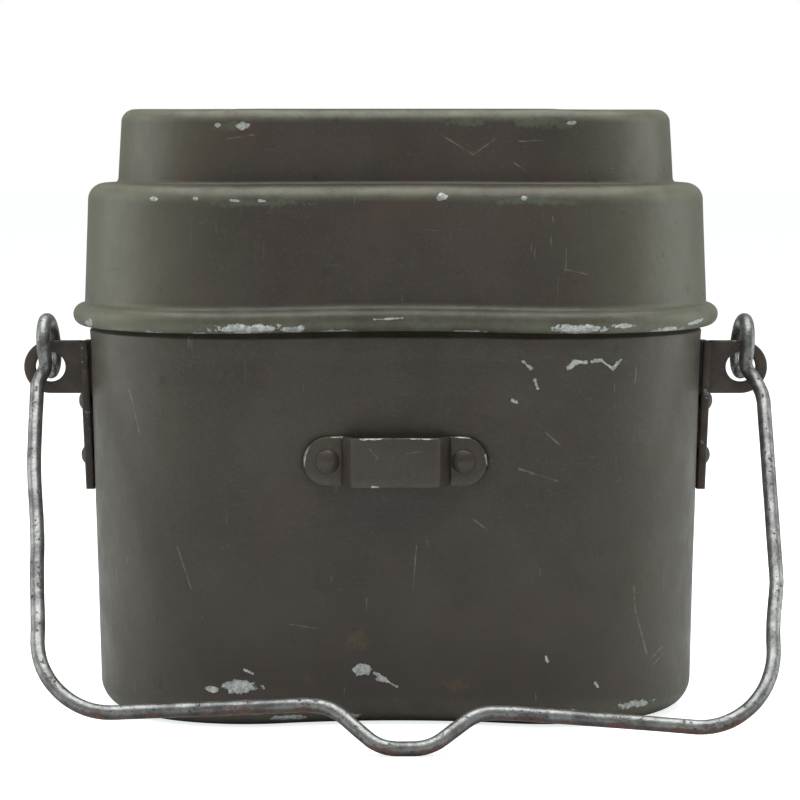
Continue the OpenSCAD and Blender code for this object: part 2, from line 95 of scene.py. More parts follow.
# The lid is seated on the pot's rim
INNER_SHOULDER_R = SHOULDER_R - SHEET
SEAT_REACH = max(INNER_SHOULDER_R - LID_CLEARANCE, 0)
SHOULDER_CZ = POT_H - math.sqrt((INNER_SHOULDER_R - SEAT_GAP) ** 2 - SEAT_REACH ** 2)
SHOULDER_Z = SHOULDER_CZ + SHOULDER_R
LID_Z = SHOULDER_Z - SKIRT_H
TOP_Z = SHOULDER_Z + CROWN_H
BEAD_Z = LID_Z + BEAD_R
HINGE_Z = BEAD_Z + BEAD_R + HINGE_RISE
LOOP_Z = HINGE_Z - HANDLE_L - HANDLE_WIRE_D / 2 - HANDLE_LOOP_GAP - LOOP_H / 2
SKIRT_TOP_O = SHEET + LID_CLEARANCE - NECK_INSET
SKIRT_FOOT_O = SKIRT_TOP_O + (SHOULDER_CZ - BEAD_Z - BEAD_R) * tand(SKIRT_DRAFT)
BEAD_O = SKIRT_FOOT_O + 0.2
CHANNEL_R = BEAD_R - SHEET
CROWN_FOOT_O = SKIRT_TOP_O - CROWN_STEP
CROWN_TOP_O = CROWN_FOOT_O - (CROWN_H - FOOT_R - CROWN_R) * tand(CROWN_DRAFT)
NECK_Z = LID_Z + 0.5
WALL_TOP_Z = NECK_Z - NECK_SLOPE_H

# Ears, bail and handle
WIRE_R = WIRE_D / 2
EAR_X = BODY_L / 2 + EAR_OUT
EAR_Z = LID_Z - EAR_DROP
EYE_ROOM = EAR_HOLE_R - WIRE_R - EYE_PLAY
EYE_SIDE = 0.7  # share of the room by which an eye hangs to the outside of its hole
EYE_X = EAR_X + EYE_SIDE * EYE_ROOM
EYE_Z = EAR_Z + EYE_R - math.sqrt(1 - EYE_SIDE ** 2) * EYE_ROOM
BAIL_REACH = (EYE_Z - WIRE_R) / cosd(BAIL_REST)
BAR_T = BAIL_REACH - GRIP_DEPTH


def wall_o(z):
    return -(WALL_TOP_Z - z) * tand(POT_DRAFT)


def skirt_o(z):
    return SKIRT_TOP_O + (SHOULDER_CZ - z) * tand(SKIRT_DRAFT)


FLANGE_Z = EAR_Z + EAR_R - 0.5 - FLANGE_H
FLANGE_LEAN = math.degrees(math.atan((FLANGE_GAP - LAY_GAP) / FLANGE_H)) + POT_DRAFT
FLANGE_O = wall_o(FLANGE_Z) + LAY_GAP
FLANGE_FACE_O = FLANGE_O + EAR_T / cosd(FLANGE_LEAN)
UPPER_RIVET_Z = FLANGE_Z + FLANGE_H - UPPER_RIVET_DROP
LOWER_RIVET_Z = UPPER_RIVET_Z - EAR_RIVET_PITCH
EAR_RIVET_YAW = math.degrees(math.asin(FLANGE_W * 0.58 / END_R))
HINGE_BORE_R = HANDLE_WIRE_D / 2 + 0.25
HINGE_R = HINGE_BORE_R + HINGE_T
HINGE_Y = BACK_Y + skirt_o(HINGE_Z) + LAY_GAP + HINGE_T + HINGE_R
HINGE_RIVET_Z = HINGE_Z + HINGE_RIVET_RISE
HINGE_PLATE_TOP = HINGE_Z + HINGE_RIVET_RISE + RIVET_HEAD_D / 2 + 1


def flange_at(z):
    return FLANGE_FACE_O + (z - FLANGE_Z) * tand(FLANGE_LEAN)


# ---------------------------------------------------------------- mesh helpers

def placed(name, data):
    """A new object in the scene."""
    obj = bpy.data.objects.new(name, data)
    bpy.context.scene.collection.objects.link(obj)
    return obj


def make_object(name, verts, faces, attributes=None):
    """A smooth mesh object from points in millimetres."""
    mesh = bpy.data.meshes.new(name)
    mesh.from_pydata([(x * MM, y * MM, z * MM) for x, y, z in verts], [], faces)
    mesh.validate()
    obj = placed(name, mesh)
    for key, values in (attributes or {}).items():
        layer = mesh.attributes.new(key, "FLOAT", "POINT")
        layer.data.foreach_set("value", values)
    bm = bmesh.new()
    bm.from_mesh(mesh)
    bmesh.ops.recalc_face_normals(bm, faces=bm.faces)
    bm.to_mesh(mesh)
    bm.free()
    for polygon in mesh.polygons:
        polygon.use_smooth = True
    return obj


def finish_piece(obj, body, nodes, material):
    """Gives a piece its material, its body and the CAD nodes it stands for."""
    obj.data.materials.clear()
    obj.data.materials.append(material)
    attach(obj, body)
    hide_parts(*nodes)


def ring_faces(a, b, count):
    """Faces between two rings of points whose first points are a and b."""
    return [(a + i, a + (i + 1) % count, b + (i + 1) % count, b + i) for i in range(count)]


ARCS = (
    (END_C, 0.0, END_R, 1, -90 - DIP_A, 90 - BACK_A, 48),
    (0.0, BACK_CY, BACK_R, 1, 90 - BACK_A, 90 + BACK_A, 26),
    (-END_C, 0.0, END_R, 1, 90 + BACK_A, 270 + DIP_A, 48),
    (0.0, DIP_CY, DIP_R, -1, 90 + DIP_A, 90 - DIP_A, 26),
)


def outline(o):
    """Points of the plan outline moved outward by o."""
    points = []
    for cx, cy, r, grow, a0, a1, steps in ARCS:
        for i in range(steps):
            a = a0 + (a1 - a0) * i / steps
            points.append((cx + (r + grow * o) * cosd(a), cy + (r + grow * o) * sind(a)))
    return points


def fillet(co, cz, r, a0, a1, steps):
    return [
        (co + r * cosd(a0 + (a1 - a0) * i / steps), cz + r * sind(a0 + (a1 - a0) * i / steps))
        for i in range(steps + 1)
    ]


def straight(p, q, steps):
    """Points between p and q, with neither end."""
    return [
        (p[0] + (q[0] - p[0]) * i / steps, p[1] + (q[1] - p[1]) * i / steps)
        for i in range(1, steps)
    ]


def drawn_skin(name, profile, warp, floor_scales=(0.8, 0.6, 0.4, 0.2)):
    """Sweeps [(offset, z, edge, bare)] round the plan and closes both ends with shrinking rings."""
    rings = []
    first, last = profile[0], profile[-1]
    for scale in reversed(floor_scales):
        rings.append(([(x * scale, y * scale) for x, y in outline(first[0])], first[1], 0.0, first[3]))
    for o, z, edge, bare in profile:
        rings.append((outline(o), z, edge, bare))
    for scale in floor_scales:
        rings.append(([(x * scale, y * scale) for x, y in outline(last[0])], last[1], 0.0, last[3]))
    verts = [(0.0, 0.0, first[1]), (0.0, 0.0, last[1])]
    edges, bares = [0.0, 0.0], [first[3], last[3]]
    count = len(rings[0][0])
    for points, z, edge, bare in rings:
        for x, y in points:
            verts.append(warp(x, y, z))
            edges.append(edge)
            bares.append(bare)
    verts[0] = warp(*verts[0])
    verts[1] = warp(*verts[1])

    def at(k, i):
        return 2 + k * count + i % count

    faces = [(0, at(0, i + 1), at(0, i)) for i in range(count)]
    for k in range(len(rings) - 1):
        faces += ring_faces(at(k, 0), at(k + 1, 0), count)
    faces += [(1, at(len(rings) - 1, i), at(len(rings) - 1, i + 1)) for i in range(count)]
    return make_object(name, verts, faces, attributes={"edge": edges, "bare": bares})


def tube(name, points, radius, sides=18, closed=False, wobble=0.0):
    """A round wire along a list of points."""
    pts = [Vector(p) for p in points]
    count = len(pts)
    tangents = []
    for i in range(count):
        if closed:
            tangents.append((pts[(i + 1) % count] - pts[i - 1]).normalized())
        else:
            tangents.append((pts[min(i + 1, count - 1)] - pts[max(i - 1, 0)]).normalized())
    side = tangents[0].orthogonal().normalized()
    verts, rings = [], []
    for i in range(count):
        side = (side - tangents[i] * side.dot(tangents[i])).normalized()
        other = tangents[i].cross(side)
        rings.append((side.copy(), other))
    twist = 0.0
    if closed:
        back = (rings[-1][0] - tangents[0] * rings[-1][0].dot(tangents[0])).normalized()
        twist = math.atan2(back.dot(rings[0][1]), back.dot(rings[0][0]))
    for i in range(count):
        side, other = rings[i]
        turn = -twist * i / count
        for k in range(sides):
            a = 2 * math.pi * k / sides + turn
            direction = side * math.cos(a) + other * math.sin(a)
            r = radius * (1 + wobble * noise.noise((pts[i] + direction * radius) * 0.21))
            verts.append(pts[i] + direction * r)
    faces = []
    for i in range(count if closed else count - 1):
        faces += ring_faces(i * sides, ((i + 1) % count) * sides, sides)
    if not closed:
        for end, inward in ((0, 1), (count - 1, -1)):
            dome = pts[end] - tangents[end] * inward * radius * 0.35
            verts.append(dome)
            tip = len(verts) - 1
            faces += [(end * sides + k, end * sides + (k + 1) % sides, tip) for k in range(sides)]
    return make_object(name, [tuple(v) for v in verts], faces)


def wire_run(start, runs, step=1.2):
    """Centre line of straight runs and bends; each run is (roll, length, radius, angle, kink)."""
    frame_now = start.copy()
    points = [frame_now.to_translation()]
    for roll, length, radius, angle, kink in runs:
        frame_now = frame_now @ Matrix.Rotation(math.radians(roll), 4, "Z")
        pieces = max(int(length / (step * 2.5)), 1)
        for i in range(1, pieces + 1):
            if length > 0:
                points.append(frame_now @ Vector((0, 0, length * i / pieces)))
        frame_now = frame_now @ Matrix.Translation((0, 0, length))
        frame_now = frame_now @ Matrix.Rotation(math.radians(kink), 4, "X")
        if angle > 0:
            pieces = max(int(radius * math.radians(angle) / step), 5)
            for i in range(1, pieces + 1):
                a = math.radians(angle * i / pieces)
                local = Vector((radius * (1 - math.cos(a)), 0, radius * math.sin(a)))
                points.append(frame_now @ local)
            frame_now = frame_now @ Matrix.Translation(local) @ Matrix.Rotation(a, 4, "Y")
    return points


def lathe_rivet(name, place, grip, seed=0.0, head_h=RIVET_HEAD_H):
    """A hammered dome head, its shank and its formed tail; place maps local +Z outward."""
    head_r = RIVET_HEAD_D / 2
    tail_r = RIVET_D / 2 + 0.9
    dome_r = (head_r ** 2 + head_h ** 2) / (2 * head_h)
    profile = [(0.0, head_h)]
    steps = 7
    reach = math.asin(min(head_r / dome_r, 1))
    for i in range(1, steps + 1):
        a = reach * i / steps
        profile.append((dome_r * math.sin(a), head_h - dome_r + dome_r * math.cos(a)))
    profile += [
        (head_r, 0.0), (RIVET_D / 2, 0.0), (RIVET_D / 2, -grip), (tail_r - 0.2, -grip),
        (tail_r, -grip - 0.25), (tail_r - 0.1, -grip - 0.6), (tail_r - 0.7, -grip - 0.85),
    ]
    sides = 28
    verts, faces = [(0.0, 0.0, head_h)], []
    for r, z in profile[1:]:
        for k in range(sides):
            a = 2 * math.pi * k / sides
            x, y = r * math.cos(a), r * math.sin(a)
            dip = 0.10 * noise.noise(Vector((x * 0.6 + seed, y * 0.6, seed))) if z > 0.01 else 0.0
            verts.append((x, y, z - abs(dip)))
    for k in range(sides):
        faces.append((0, 1 + k, 1 + (k + 1) % sides))
    for j in range(len(profile) - 2):
        for k in range(sides):
            a, b = 1 + j * sides, 1 + (j + 1) * sides
            faces.append((a + k, b + k, b + (k + 1) % sides, a + (k + 1) % sides))
    faces.append(tuple(1 + (len(profile) - 2) * sides + k for k in range(sides)))
    points = [tuple(place @ Vector(v)) for v in verts]
    return make_object(name, points, faces)


def on_end(side, yaw, o, z, lean):
    """A place on an end's outside, with local +Z outward."""
    mirror = Matrix.Scale(-1, 4, (1, 0, 0)) if side < 0 else Matrix.Identity(4)
    return (
        mirror
        @ Matrix.Translation((END_C, 0, 0))
        @ Matrix.Rotation(math.radians(yaw), 4, "Z")
        @ Matrix.Translation((END_R + o, 0, z))
        @ Matrix.Rotation(math.radians(90 + lean), 4, "Y")
    )


def on_arc(arc, x, o, z, lean):
    """A place on the outside of the front or back arc, with local +Z outward."""
    cy, r, grow = arc
    return (
        Matrix.Translation((0, cy, 0))
        @ Matrix.Rotation(math.radians(90) - math.asin(x / r), 4, "Z")
        @ Matrix.Translation((r + grow * o, 0, z))
        @ Matrix.Rotation(math.radians(grow * (90 + lean)), 4, "Y")
    )


FRONT_ARC = (DIP_CY, DIP_R, -1)
BACK_ARC = (BACK_CY, BACK_R, 1)


# ---------------------------------------------------------------- materials

WHOLE_FRONT = 40.0  # how far in depth a chip on the front reaches, in mm


class Finish:
    """Builds a node material whose patterns are laid out in object millimetres."""

    def __init__(self, name):
        self.material = bpy.data.materials.new(name)
        self.material.use_nodes = True
        self.tree = self.material.node_tree
        self.shader = self.tree.nodes["Principled BSDF"]
        coord = self.tree.nodes.new("ShaderNodeTexCoord")
        self.mm = self.scaled(coord.outputs["Object"], 1 / MM)

    def put(self, socket, value):
        if isinstance(value, bpy.types.NodeSocket):
            self.tree.links.new(value, socket)
        elif socket.type == "RGBA" and len(value) == 3:
            socket.default_value = (*value, 1.0)
        else:
            socket.default_value = value

    def math(self, operation, a, b=0.0, clamp=False):
        node = self.tree.nodes.new("ShaderNodeMath")
        node.operation = operation
        node.use_clamp = clamp
        for socket, value in zip(node.inputs, (a, b)):
            self.put(socket, value)
        return node.outputs[0]

    def times(self, a, b):
        return self.math("MULTIPLY", a, b)

    def plus(self, a, b, clamp=False):
        return self.math("ADD", a, b, clamp=clamp)

    def minus(self, a, b):
        return self.math("SUBTRACT", a, b)

    def most(self, a, b):
        return self.math("MAXIMUM", a, b)

    def give(self, name, value):
        self.put(self.shader.inputs[name], value)

    def scaled(self, vector, factor):
        node = self.tree.nodes.new("ShaderNodeVectorMath")
        node.operation = "SCALE"
        self.put(node.inputs[0], vector)
        self.put(node.inputs["Scale"], factor)
        return node.outputs["Vector"]

    def length(self, vector):
        return self.vector("LENGTH", vector, (0, 0, 0))

    def vector(self, operation, a, b):
        node = self.tree.nodes.new("ShaderNodeVectorMath")
        node.operation = operation
        self.put(node.inputs[0], a)
        self.put(node.inputs[1], b)
        return node.outputs["Value" if operation in ("LENGTH", "DOT_PRODUCT") else "Vector"]

    def noise(self, scale, detail=3.0, roughness=0.55, stretch=None, shift=None, distortion=0.0):
        """Noise whose features are about 1/scale mm across."""
        place = self.mm
        if shift:
            place = self.vector("ADD", place, shift)
        if stretch:
            place = self.vector("MULTIPLY", place, stretch)
        node = self.tree.nodes.new("ShaderNodeTexNoise")
        self.put(node.inputs["Vector"], place)
        keys = ("Scale", "Detail", "Roughness", "Distortion")
        for key, value in zip(keys, (scale, detail, roughness, distortion)):
            self.put(node.inputs[key], value)
        return node.outputs["Fac"]

    def ramp(self, value, low, high, to_low=0.0, to_high=1.0):
        node = self.tree.nodes.new("ShaderNodeMapRange")
        node.interpolation_type = "SMOOTHSTEP"
        keys = ("Value", "From Min", "From Max", "To Min", "To Max")
        for key, given in zip(keys, (value, low, high, to_low, to_high)):
            self.put(node.inputs[key], given)
        return node.outputs["Result"]

    def mix(self, factor, a, b):
        node = self.tree.nodes.new("ShaderNodeMix")
        node.data_type = "RGBA"
        node.clamp_factor = True
        self.put(node.inputs["Factor"], factor)
        self.put(node.inputs[6], a)
        self.put(node.inputs[7], b)
        return node.outputs[2]

    def attribute(self, name):
        node = self.tree.nodes.new("ShaderNodeAttribute")
        node.attribute_name = name
        return node.outputs["Fac"]

    def bump(self, height, distance_mm, normal=None, strength=1.0):
        node = self.tree.nodes.new("ShaderNodeBump")
        node.inputs["Strength"].default_value = strength
        node.inputs["Distance"].default_value = distance_mm * MM
        self.put(node.inputs["Height"], height)
        if normal is not None:
            self.put(node.inputs["Normal"], normal)
        return node.outputs["Normal"]

    def spots(self, places):
        """Rises to 1 at the middle of each (x, y, z, half width, half height) and falls to 0 at its rim."""
        best = None
        for x, y, z, half_w, half_h in places:
            away = self.vector("SUBTRACT", self.mm, (x, y, z))
            scaled = self.vector("DIVIDE", away, (half_w, WHOLE_FRONT, half_h))
            near = self.minus(1.0, self.length(scaled))
            best = near if best is None else self.most(best, near)
        return self.most(best, 0.0)

    def part(self, axis):
        """One axis of the place, in mm."""
        node = self.tree.nodes.new("ShaderNodeSeparateXYZ")
        self.put(node.inputs[0], self.mm)
        return node.outputs[axis]

    def facing_down(self):
        """1 where the piece's own surface faces down or to its front, 0 where it faces up."""
        node = self.tree.nodes.new("ShaderNodeTexCoord")
        slope = self.vector("DOT_PRODUCT", node.outputs["Normal"], (0, -0.35, -0.94))
        return self.ramp(slope, -0.05, 0.80)

    def strokes(self, lines):
        """Thin marks on the front, each (x, z, x, z, half width): 1 along the middle, 0 at the rim."""
        flat = self.vector("MULTIPLY", self.mm, (1, 0, 1))
        wander = self.noise(0.5, 3.0, 0.6, shift=(6, 6, 6))
        wander = self.times(self.minus(wander, 0.5), 1.3)
        best = None
        for x0, z0, x1, z1, half_w in lines:
            run = Vector((x1 - x0, 0, z1 - z0))
            away = self.vector("SUBTRACT", flat, (x0, 0, z0))
            along = self.vector("DOT_PRODUCT", away, tuple(run / run.length_squared))
            along = self.most(self.math("MINIMUM", along, 1.0), 0.0)
            gap = self.length(self.vector("SUBTRACT", away, self.scaled(run, along)))
            near = self.minus(1.0, self.math("DIVIDE", gap, half_w))
            best = near if best is None else self.most(best, near)
        best = self.plus(best, wander)
        front = self.ramp(self.part("Y"), -4.0, -10.0)
        return self.times(self.most(best, 0.0), front)


def srgb(r, g, b):
    """Linear colour of an 8-bit sRGB one."""
    out = []
    for v in (r, g, b):
        c = v / 255
        out.append(c / 12.92 if c <= 0.04045 else ((c + 0.055) / 1.055) ** 2.4)
    return tuple(out)


PAINT_DARK, PAINT_LIGHT = srgb(62, 54, 48), srgb(73, 65, 57)
# PAINT_GREEN is also the colour of the painted highlight on the edges and of the painted sheen at the ends
PAINT_GREEN, PAINT_WARM = srgb(113, 116, 95), srgb(82, 62, 53)
OLD_COAT = srgb(92, 104, 84)


def worn_paint(
    name, chips, scuffs, nicks, scratches, rub_and_sheen_share=0.85, ends=0.15, edge_wear=0.085, stain=OLD_COAT
):
    """Satin olive-brown paint over aluminium: mottled, rubbed at its edges with a painted highlight there,
    a painted sheen at its ends, and chipped to bare metal.
    """
    f = Finish(name)
    edge = f.attribute("edge")
    bare = f.attribute("bare")

    broad = f.noise(0.022, 3.0, 0.6)
    streaks = f.noise(0.11, 4.0, 0.6, stretch=(1.0, 1.0, 0.22), shift=(31, 7, 3))
    brushed = f.noise(0.30, 4.0, 0.65, stretch=(0.12, 0.12, 1.6), shift=(3, 1, 8))
    grain = f.noise(1.3, 4.0, 0.72, shift=(3, 50, 9))
    colour = f.mix(f.ramp(broad, 0.34, 0.68), PAINT_DARK, PAINT_LIGHT)
    colour = f.mix(f.ramp(streaks, 0.48, 0.74, 0.0, 0.40), colour, PAINT_LIGHT)
    colour = f.mix(f.ramp(brushed, 0.50, 0.76, 0.0, 0.35), colour, PAINT_LIGHT)
    colour = f.mix(f.ramp(grain, 0.50, 0.78, 0.0, 0.30), colour, PAINT_GREEN)
    warm = f.ramp(f.noise(0.05, 3.0, 0.6, shift=(4, 44, 21)), 0.56, 0.72, 0.0, 0.45)
    colour = f.mix(warm, colour, PAINT_WARM)

    # browner near the ground
    low = f.ramp(f.part("Z"), 70.0, 4.0, 0.0, 0.55)
    colour = f.mix(low, colour, srgb(62, 51, 45))

    # edges made paler and more green: partly real rubbing, partly a painted highlight on the fillets and
    # bead
    rub_and_sheen_noise = f.noise(0.10, 5.0, 0.68, shift=(11, 3, 40))
    rub_and_sheen = f.times(edge, f.ramp(rub_and_sheen_noise, 0.30, 0.66, 0.25, 1.0))
    colour = f.mix(f.times(rub_and_sheen, rub_and_sheen_share), colour, PAINT_GREEN)
    # paler and more green towards the ends, where the wall turns away from view: a painted sheen
    end_sheen = f.ramp(f.math("ABSOLUTE", f.part("X")), 35.0, 92.0, 0.0, ends)
    colour = f.mix(end_sheen, colour, PAINT_GREEN)

    # grime in small blots
    blots = f.ramp(f.noise(0.16, 5.0, 0.7, shift=(90, 20, 5)), 0.60, 0.74)
    colour = f.mix(f.times(blots, 0.45), colour, srgb(40, 36, 32))

    # placed rubs: an older green coat, or a stain
    cloud = f.noise(0.42, 6.0, 0.78, shift=(5, 5, 70))
    place = f.spots(scuffs)
    scuffed = f.ramp(f.plus(f.times(place, 0.42), cloud), 0.66, 0.86)
    scuffed = f.times(scuffed, f.ramp(place, 0.02, 0.16))
    colour = f.mix(f.times(scuffed, 0.62), colour, stain)

    # fine scratches in three directions
    lines = None
    for shift, stretch in (
        ((0, 0, 0), (0.03, 0.5, 1.9)),
        ((40, 9, 2), (1.7, 0.6, 0.035)),
        ((7, 70, 5), (0.6, 0.6, 0.09)),
    ):
        line = f.ramp(f.noise(1.0, 2.0, 0.5, stretch=stretch, shift=shift, distortion=0.35), 0.715, 0.745)
        lines = line if lines is None else f.most(lines, line)
    gate = f.ramp(f.noise(0.05, 2.0, 0.5, shift=(2, 60, 33)), 0.48, 0.64)
    lines = f.times(lines, gate)
    colour = f.mix(f.times(lines, 0.40), colour, srgb(128, 125, 112))
    broken = f.ramp(f.noise(0.35, 3.0, 0.6, shift=(12, 3, 61)), 0.40, 0.60, 0.10, 0.55)
    marks = f.times(f.ramp(f.strokes(scratches), 0.30, 0.80), broken)
    colour = f.mix(marks, colour, srgb(136, 132, 120))

    # chips through to bare metal: specks, worn edges, and the listed spots and nicks
    flakes = f.noise(0.36, 7.0, 0.70, shift=(17, 4, 88))
    tiny = f.noise(1.05, 4.0, 0.55, shift=(60, 60, 1))
    by_edge = f.plus(flakes, f.times(edge, edge_wear))
    torn = f.minus(f.times(flakes, 1.7), 0.50)
    by_spot = f.plus(f.times(f.spots(chips), 0.95), torn)
    by_nick = f.plus(f.times(f.strokes(nicks), 0.90), torn)
    worn = f.most(f.most(by_edge, by_spot), f.most(by_nick, tiny))
    chip = f.most(f.ramp(worn, 0.775, 0.790), bare)
    halo = f.ramp(worn, 0.735, 0.775)

    silver = f.mix(f.ramp(f.noise(0.8, 4.0, 0.6), 0.35, 0.7), srgb(158, 160, 156), srgb(214, 216, 212))
    colour = f.mix(f.times(halo, 0.55), colour, srgb(44, 41, 37))
    colour = f.mix(chip, colour, silver)
    f.give("Base Color", colour)
    f.give("Metallic", f.times(chip, 0.55))

    satin = f.ramp(f.noise(0.09, 4.0, 0.6, shift=(8, 8, 8)), 0.3, 0.7, 0.34, 0.48)
    satin = f.plus(satin, f.times(scuffed, 0.12))
    f.give("Roughness", satin)
    f.give("Specular IOR Level", 0.5)

    normal = f.bump(f.noise(0.9, 3.0, 0.5, shift=(2, 9, 9)), 0.05)
    normal = f.bump(f.noise(0.55, 3.0, 0.6, stretch=(0.25, 0.25, 2.4), shift=(7, 7, 30)), 0.045, normal)
    normal = f.bump(f.noise(0.10, 3.0, 0.55, shift=(20, 9, 9)), 0.55, normal, 0.65)
    dents = f.minus(1.0, f.plus(chip, f.times(lines, 0.6), clamp=True))
    normal = f.bump(dents, 0.10, normal)
    f.give("Normal", normal)
    return f.material


def wire_steel(name, base, pale, rust_share):
    """Bare drawn wire: dull grey with dark pits, rubbed bright in places and rusty in others, with painted
    shade on its underside near the table.
    """
    f = Finish(name)
    tone = f.mix(f.ramp(f.noise(0.16, 4.0, 0.65), 0.32, 0.68), base, pale)
    fine = f.noise(1.4, 4.0, 0.7, shift=(5, 3, 1))
    tone = f.mix(f.ramp(fine, 0.50, 0.74, 0.0, 0.7), tone, srgb(62, 56, 50))
    # painted shade with some real rust: the underside near the table is made darker and redder, and rusts
    # more
    near_table = f.ramp(f.part("Z"), 70.0, 14.0, 0.25, 1.0)
    down = f.times(f.facing_down(), near_table)
    tone = f.mix(f.times(down, 0.80), tone, srgb(56, 47, 45))
    rust_noise = f.noise(0.13, 5.0, 0.7, shift=(70, 1, 12))
    rust_noise = f.plus(rust_noise, f.times(down, 0.17))
    rust = f.ramp(rust_noise, 0.64 - rust_share, 0.74 - rust_share)
    rust_tone = f.mix(f.ramp(fine, 0.35, 0.65), srgb(72, 48, 42), srgb(124, 84, 66))
    tone = f.mix(f.times(rust, 0.75), tone, rust_tone)
    pits = f.ramp(f.noise(0.62, 3.0, 0.6, shift=(9, 90, 9)), 0.60, 0.70)
    tone = f.mix(f.times(pits, 0.75), tone, srgb(40, 36, 33))
    f.give("Base Color", tone)
    metal = f.minus(0.80, f.times(f.most(rust, pits), 0.7))
    f.give("Metallic", metal)
    rough = f.plus(0.30, f.times(f.most(rust, pits), 0.35))
    f.give("Roughness", f.plus(rough, f.times(fine, 0.10)))
    normal = f.bump(f.noise(0.8, 4.0, 0.6, shift=(4, 4, 4)), 0.12)
    normal = f.bump(f.minus(1.0, pits), 0.16, normal)
    f.give("Normal", normal)
    return f.material


def dark_steel(name, dark, light, edge_wear):
    """Blackened steel with brown rust in patches and bright rubbed edges."""
    f = Finish(name)
    edge = f.attribute("edge")
    tone = f.mix(f.ramp(f.noise(0.14, 4.0, 0.65, shift=(3, 8, 2)), 0.30, 0.70), dark, light)
    fine = f.noise(1.1, 4.0, 0.7, shift=(50, 3, 1))
    rust = f.ramp(f.noise(0.22, 5.0, 0.7, shift=(7, 41, 12)), 0.55, 0.70)
    rust_tone = f.mix(f.ramp(fine, 0.35, 0.68), srgb(64, 42, 30), srgb(128, 82, 52))
    tone = f.mix(f.times(rust, 0.6), tone, rust_tone)
    tone = f.mix(f.ramp(fine, 0.56, 0.80, 0.0, 0.6), tone, srgb(96, 90, 80))
    flakes = f.noise(0.42, 5.0, 0.65, shift=(17, 14, 8))
    worn = f.plus(flakes, f.times(edge, edge_wear))
    chip = f.ramp(worn, 0.69, 0.72)
    bright = f.mix(f.ramp(fine, 0.40, 0.66), srgb(112, 108, 100), srgb(188, 186, 178))
    tone = f.mix(chip, tone, bright)
    f.give("Base Color", tone)
    f.give("Metallic", f.plus(0.12, f.times(chip, 0.7)))
    f.give("Roughness", f.ramp(fine, 0.3, 0.7, 0.40, 0.62))
    normal = f.bump(f.noise(0.7, 4.0, 0.6, shift=(4, 4, 44)), 0.14)
    normal = f.bump(f.minus(1.0, chip), 0.08, normal)
    f.give("Normal", normal)
    return f.material


# ---------------------------------------------------------------- pot and lid

def outward(x, y):
    """Roughly the plan direction out of the wall at a point."""
    away = Vector((x - max(min(x, END_C), -END_C), y))
    return away.normalized() if away.length > 1e-6 else Vector((0, 0))


def dented(x, y, z, depth, seed):
    """Pushes the wall in by a shallow random amount, never out."""
    wide = noise.noise(Vector((x * 0.019 + seed, y * 0.019, z * 0.024)))
    small = noise.noise(Vector((x * 0.055, y * 0.055 + seed, z * 0.060)))
    push = depth * (0.5 + 0.7 * wide + 0.35 * small)
    direction = outward(x, y)
    return x - direction.x * max(push, 0), y - direction.y * max(push, 0), z


POT_DENT, LID_DENT = 0.16, 0.14  # how deep the walls are dented
ARCH_H = 0.55  # how far the middle of the lid's front bows up
ARCH_HALF, ARCH_DEPTH = 74, 30  # its reach along x, and how soon it is full towards the front
TOP_SAG = 0.35  # how far the lid's flat top may sink


def pot_warp(x, y, z):
    """Dents the pot's wall, fading out at its foot and top."""
    foot, top = 2, WALL_TOP_Z - 0.5
    if not foot < z < top or math.hypot(x, y) < 20:
        return x, y, z
    fade = min((z - foot) / 8, (top - z) / 10, 1)
    return dented(x, y, z, POT_DENT * fade, 4.0)


def lid_warp(x, y, z):
    """The lid's front bows up a little in the middle, and its walls are slightly uneven."""
    bow = max(1 - (x / ARCH_HALF) ** 2, 0) ** 2 * share(-y, 0, ARCH_DEPTH)
    low = min(max((SHOULDER_Z + 2 - z) / 12, 0), 1) if z > LID_Z else 1
    lifted = z + ARCH_H * bow * low
    if z > TOP_Z - 2.5 and abs(y) < 34:
        sag = TOP_SAG * (0.5 + 0.5 * noise.noise(Vector((x * 0.022, y * 0.03, 9))))
        return x, y, lifted - sag
    if LID_Z + 8 < z:
        fade = min((z - LID_Z - 8) / 8, 1)
        x, y, _ = dented(x, y, z, LID_DENT * fade, 21.0)
    return x, y, lifted


def tagged(points, edge=0.0, bare=0.0):
    """Adds how worn and how bare a stretch of profile is; the wear value also sets the painted highlight on
    the fillets and bead.
    """
    if callable(edge):
        return [(o, z, edge(i / max(len(points) - 1, 1)), bare) for i, (o, z) in enumerate(points)]
    return [(o, z, edge, bare) for o, z in points]


def hump(s):
    return math.sin(math.pi * s)


def pot_profile():
    """The pot's section, from the middle of its underside, up the outside and down the inside."""
    base_o = wall_o(BASE_R) - BASE_R
    neck, inner = -NECK_INSET, -NECK_INSET - SHEET
    rim_z, lip_z = POT_H - 0.12, POT_H - 0.4
    wall = straight((base_o + BASE_R, BASE_R), (-0.25, WALL_TOP_Z - 0.6), 26)
    return (
        tagged(fillet(base_o, BASE_R, BASE_R, -90, 0, 14), edge=lambda s: 0.35 * hump(s))
        + tagged(wall[:-1], edge=0.0)
        + tagged([wall[-1], (-0.1, WALL_TOP_Z - 0.35)], edge=0.12)
        + tagged([(-0.12, WALL_TOP_Z), (-0.45, WALL_TOP_Z + 0.35)], edge=0.12)
        + tagged([(neck, NECK_Z)] + straight((neck, NECK_Z), (neck, lip_z), 6), edge=0.1)
        + tagged([(neck - 0.12, rim_z), (neck - 0.5, POT_H), (neck - 0.88, rim_z)], edge=1.0, bare=0.6)
        + tagged([(inner, lip_z)] + straight((inner, lip_z), (inner, NECK_Z - 0.4), 6), bare=1.0)
        + tagged([(inner, NECK_Z - 0.4), (-1.0, WALL_TOP_Z - 0.4)], bare=1.0)
        + tagged(straight((-1.0, WALL_TOP_Z - 0.4), (base_o + BASE_R - 1, BASE_R), 14), bare=1.0)
        + tagged(fillet(base_o, BASE_R, BASE_R - SHEET, 0, -90, 10), bare=1.0)
    )


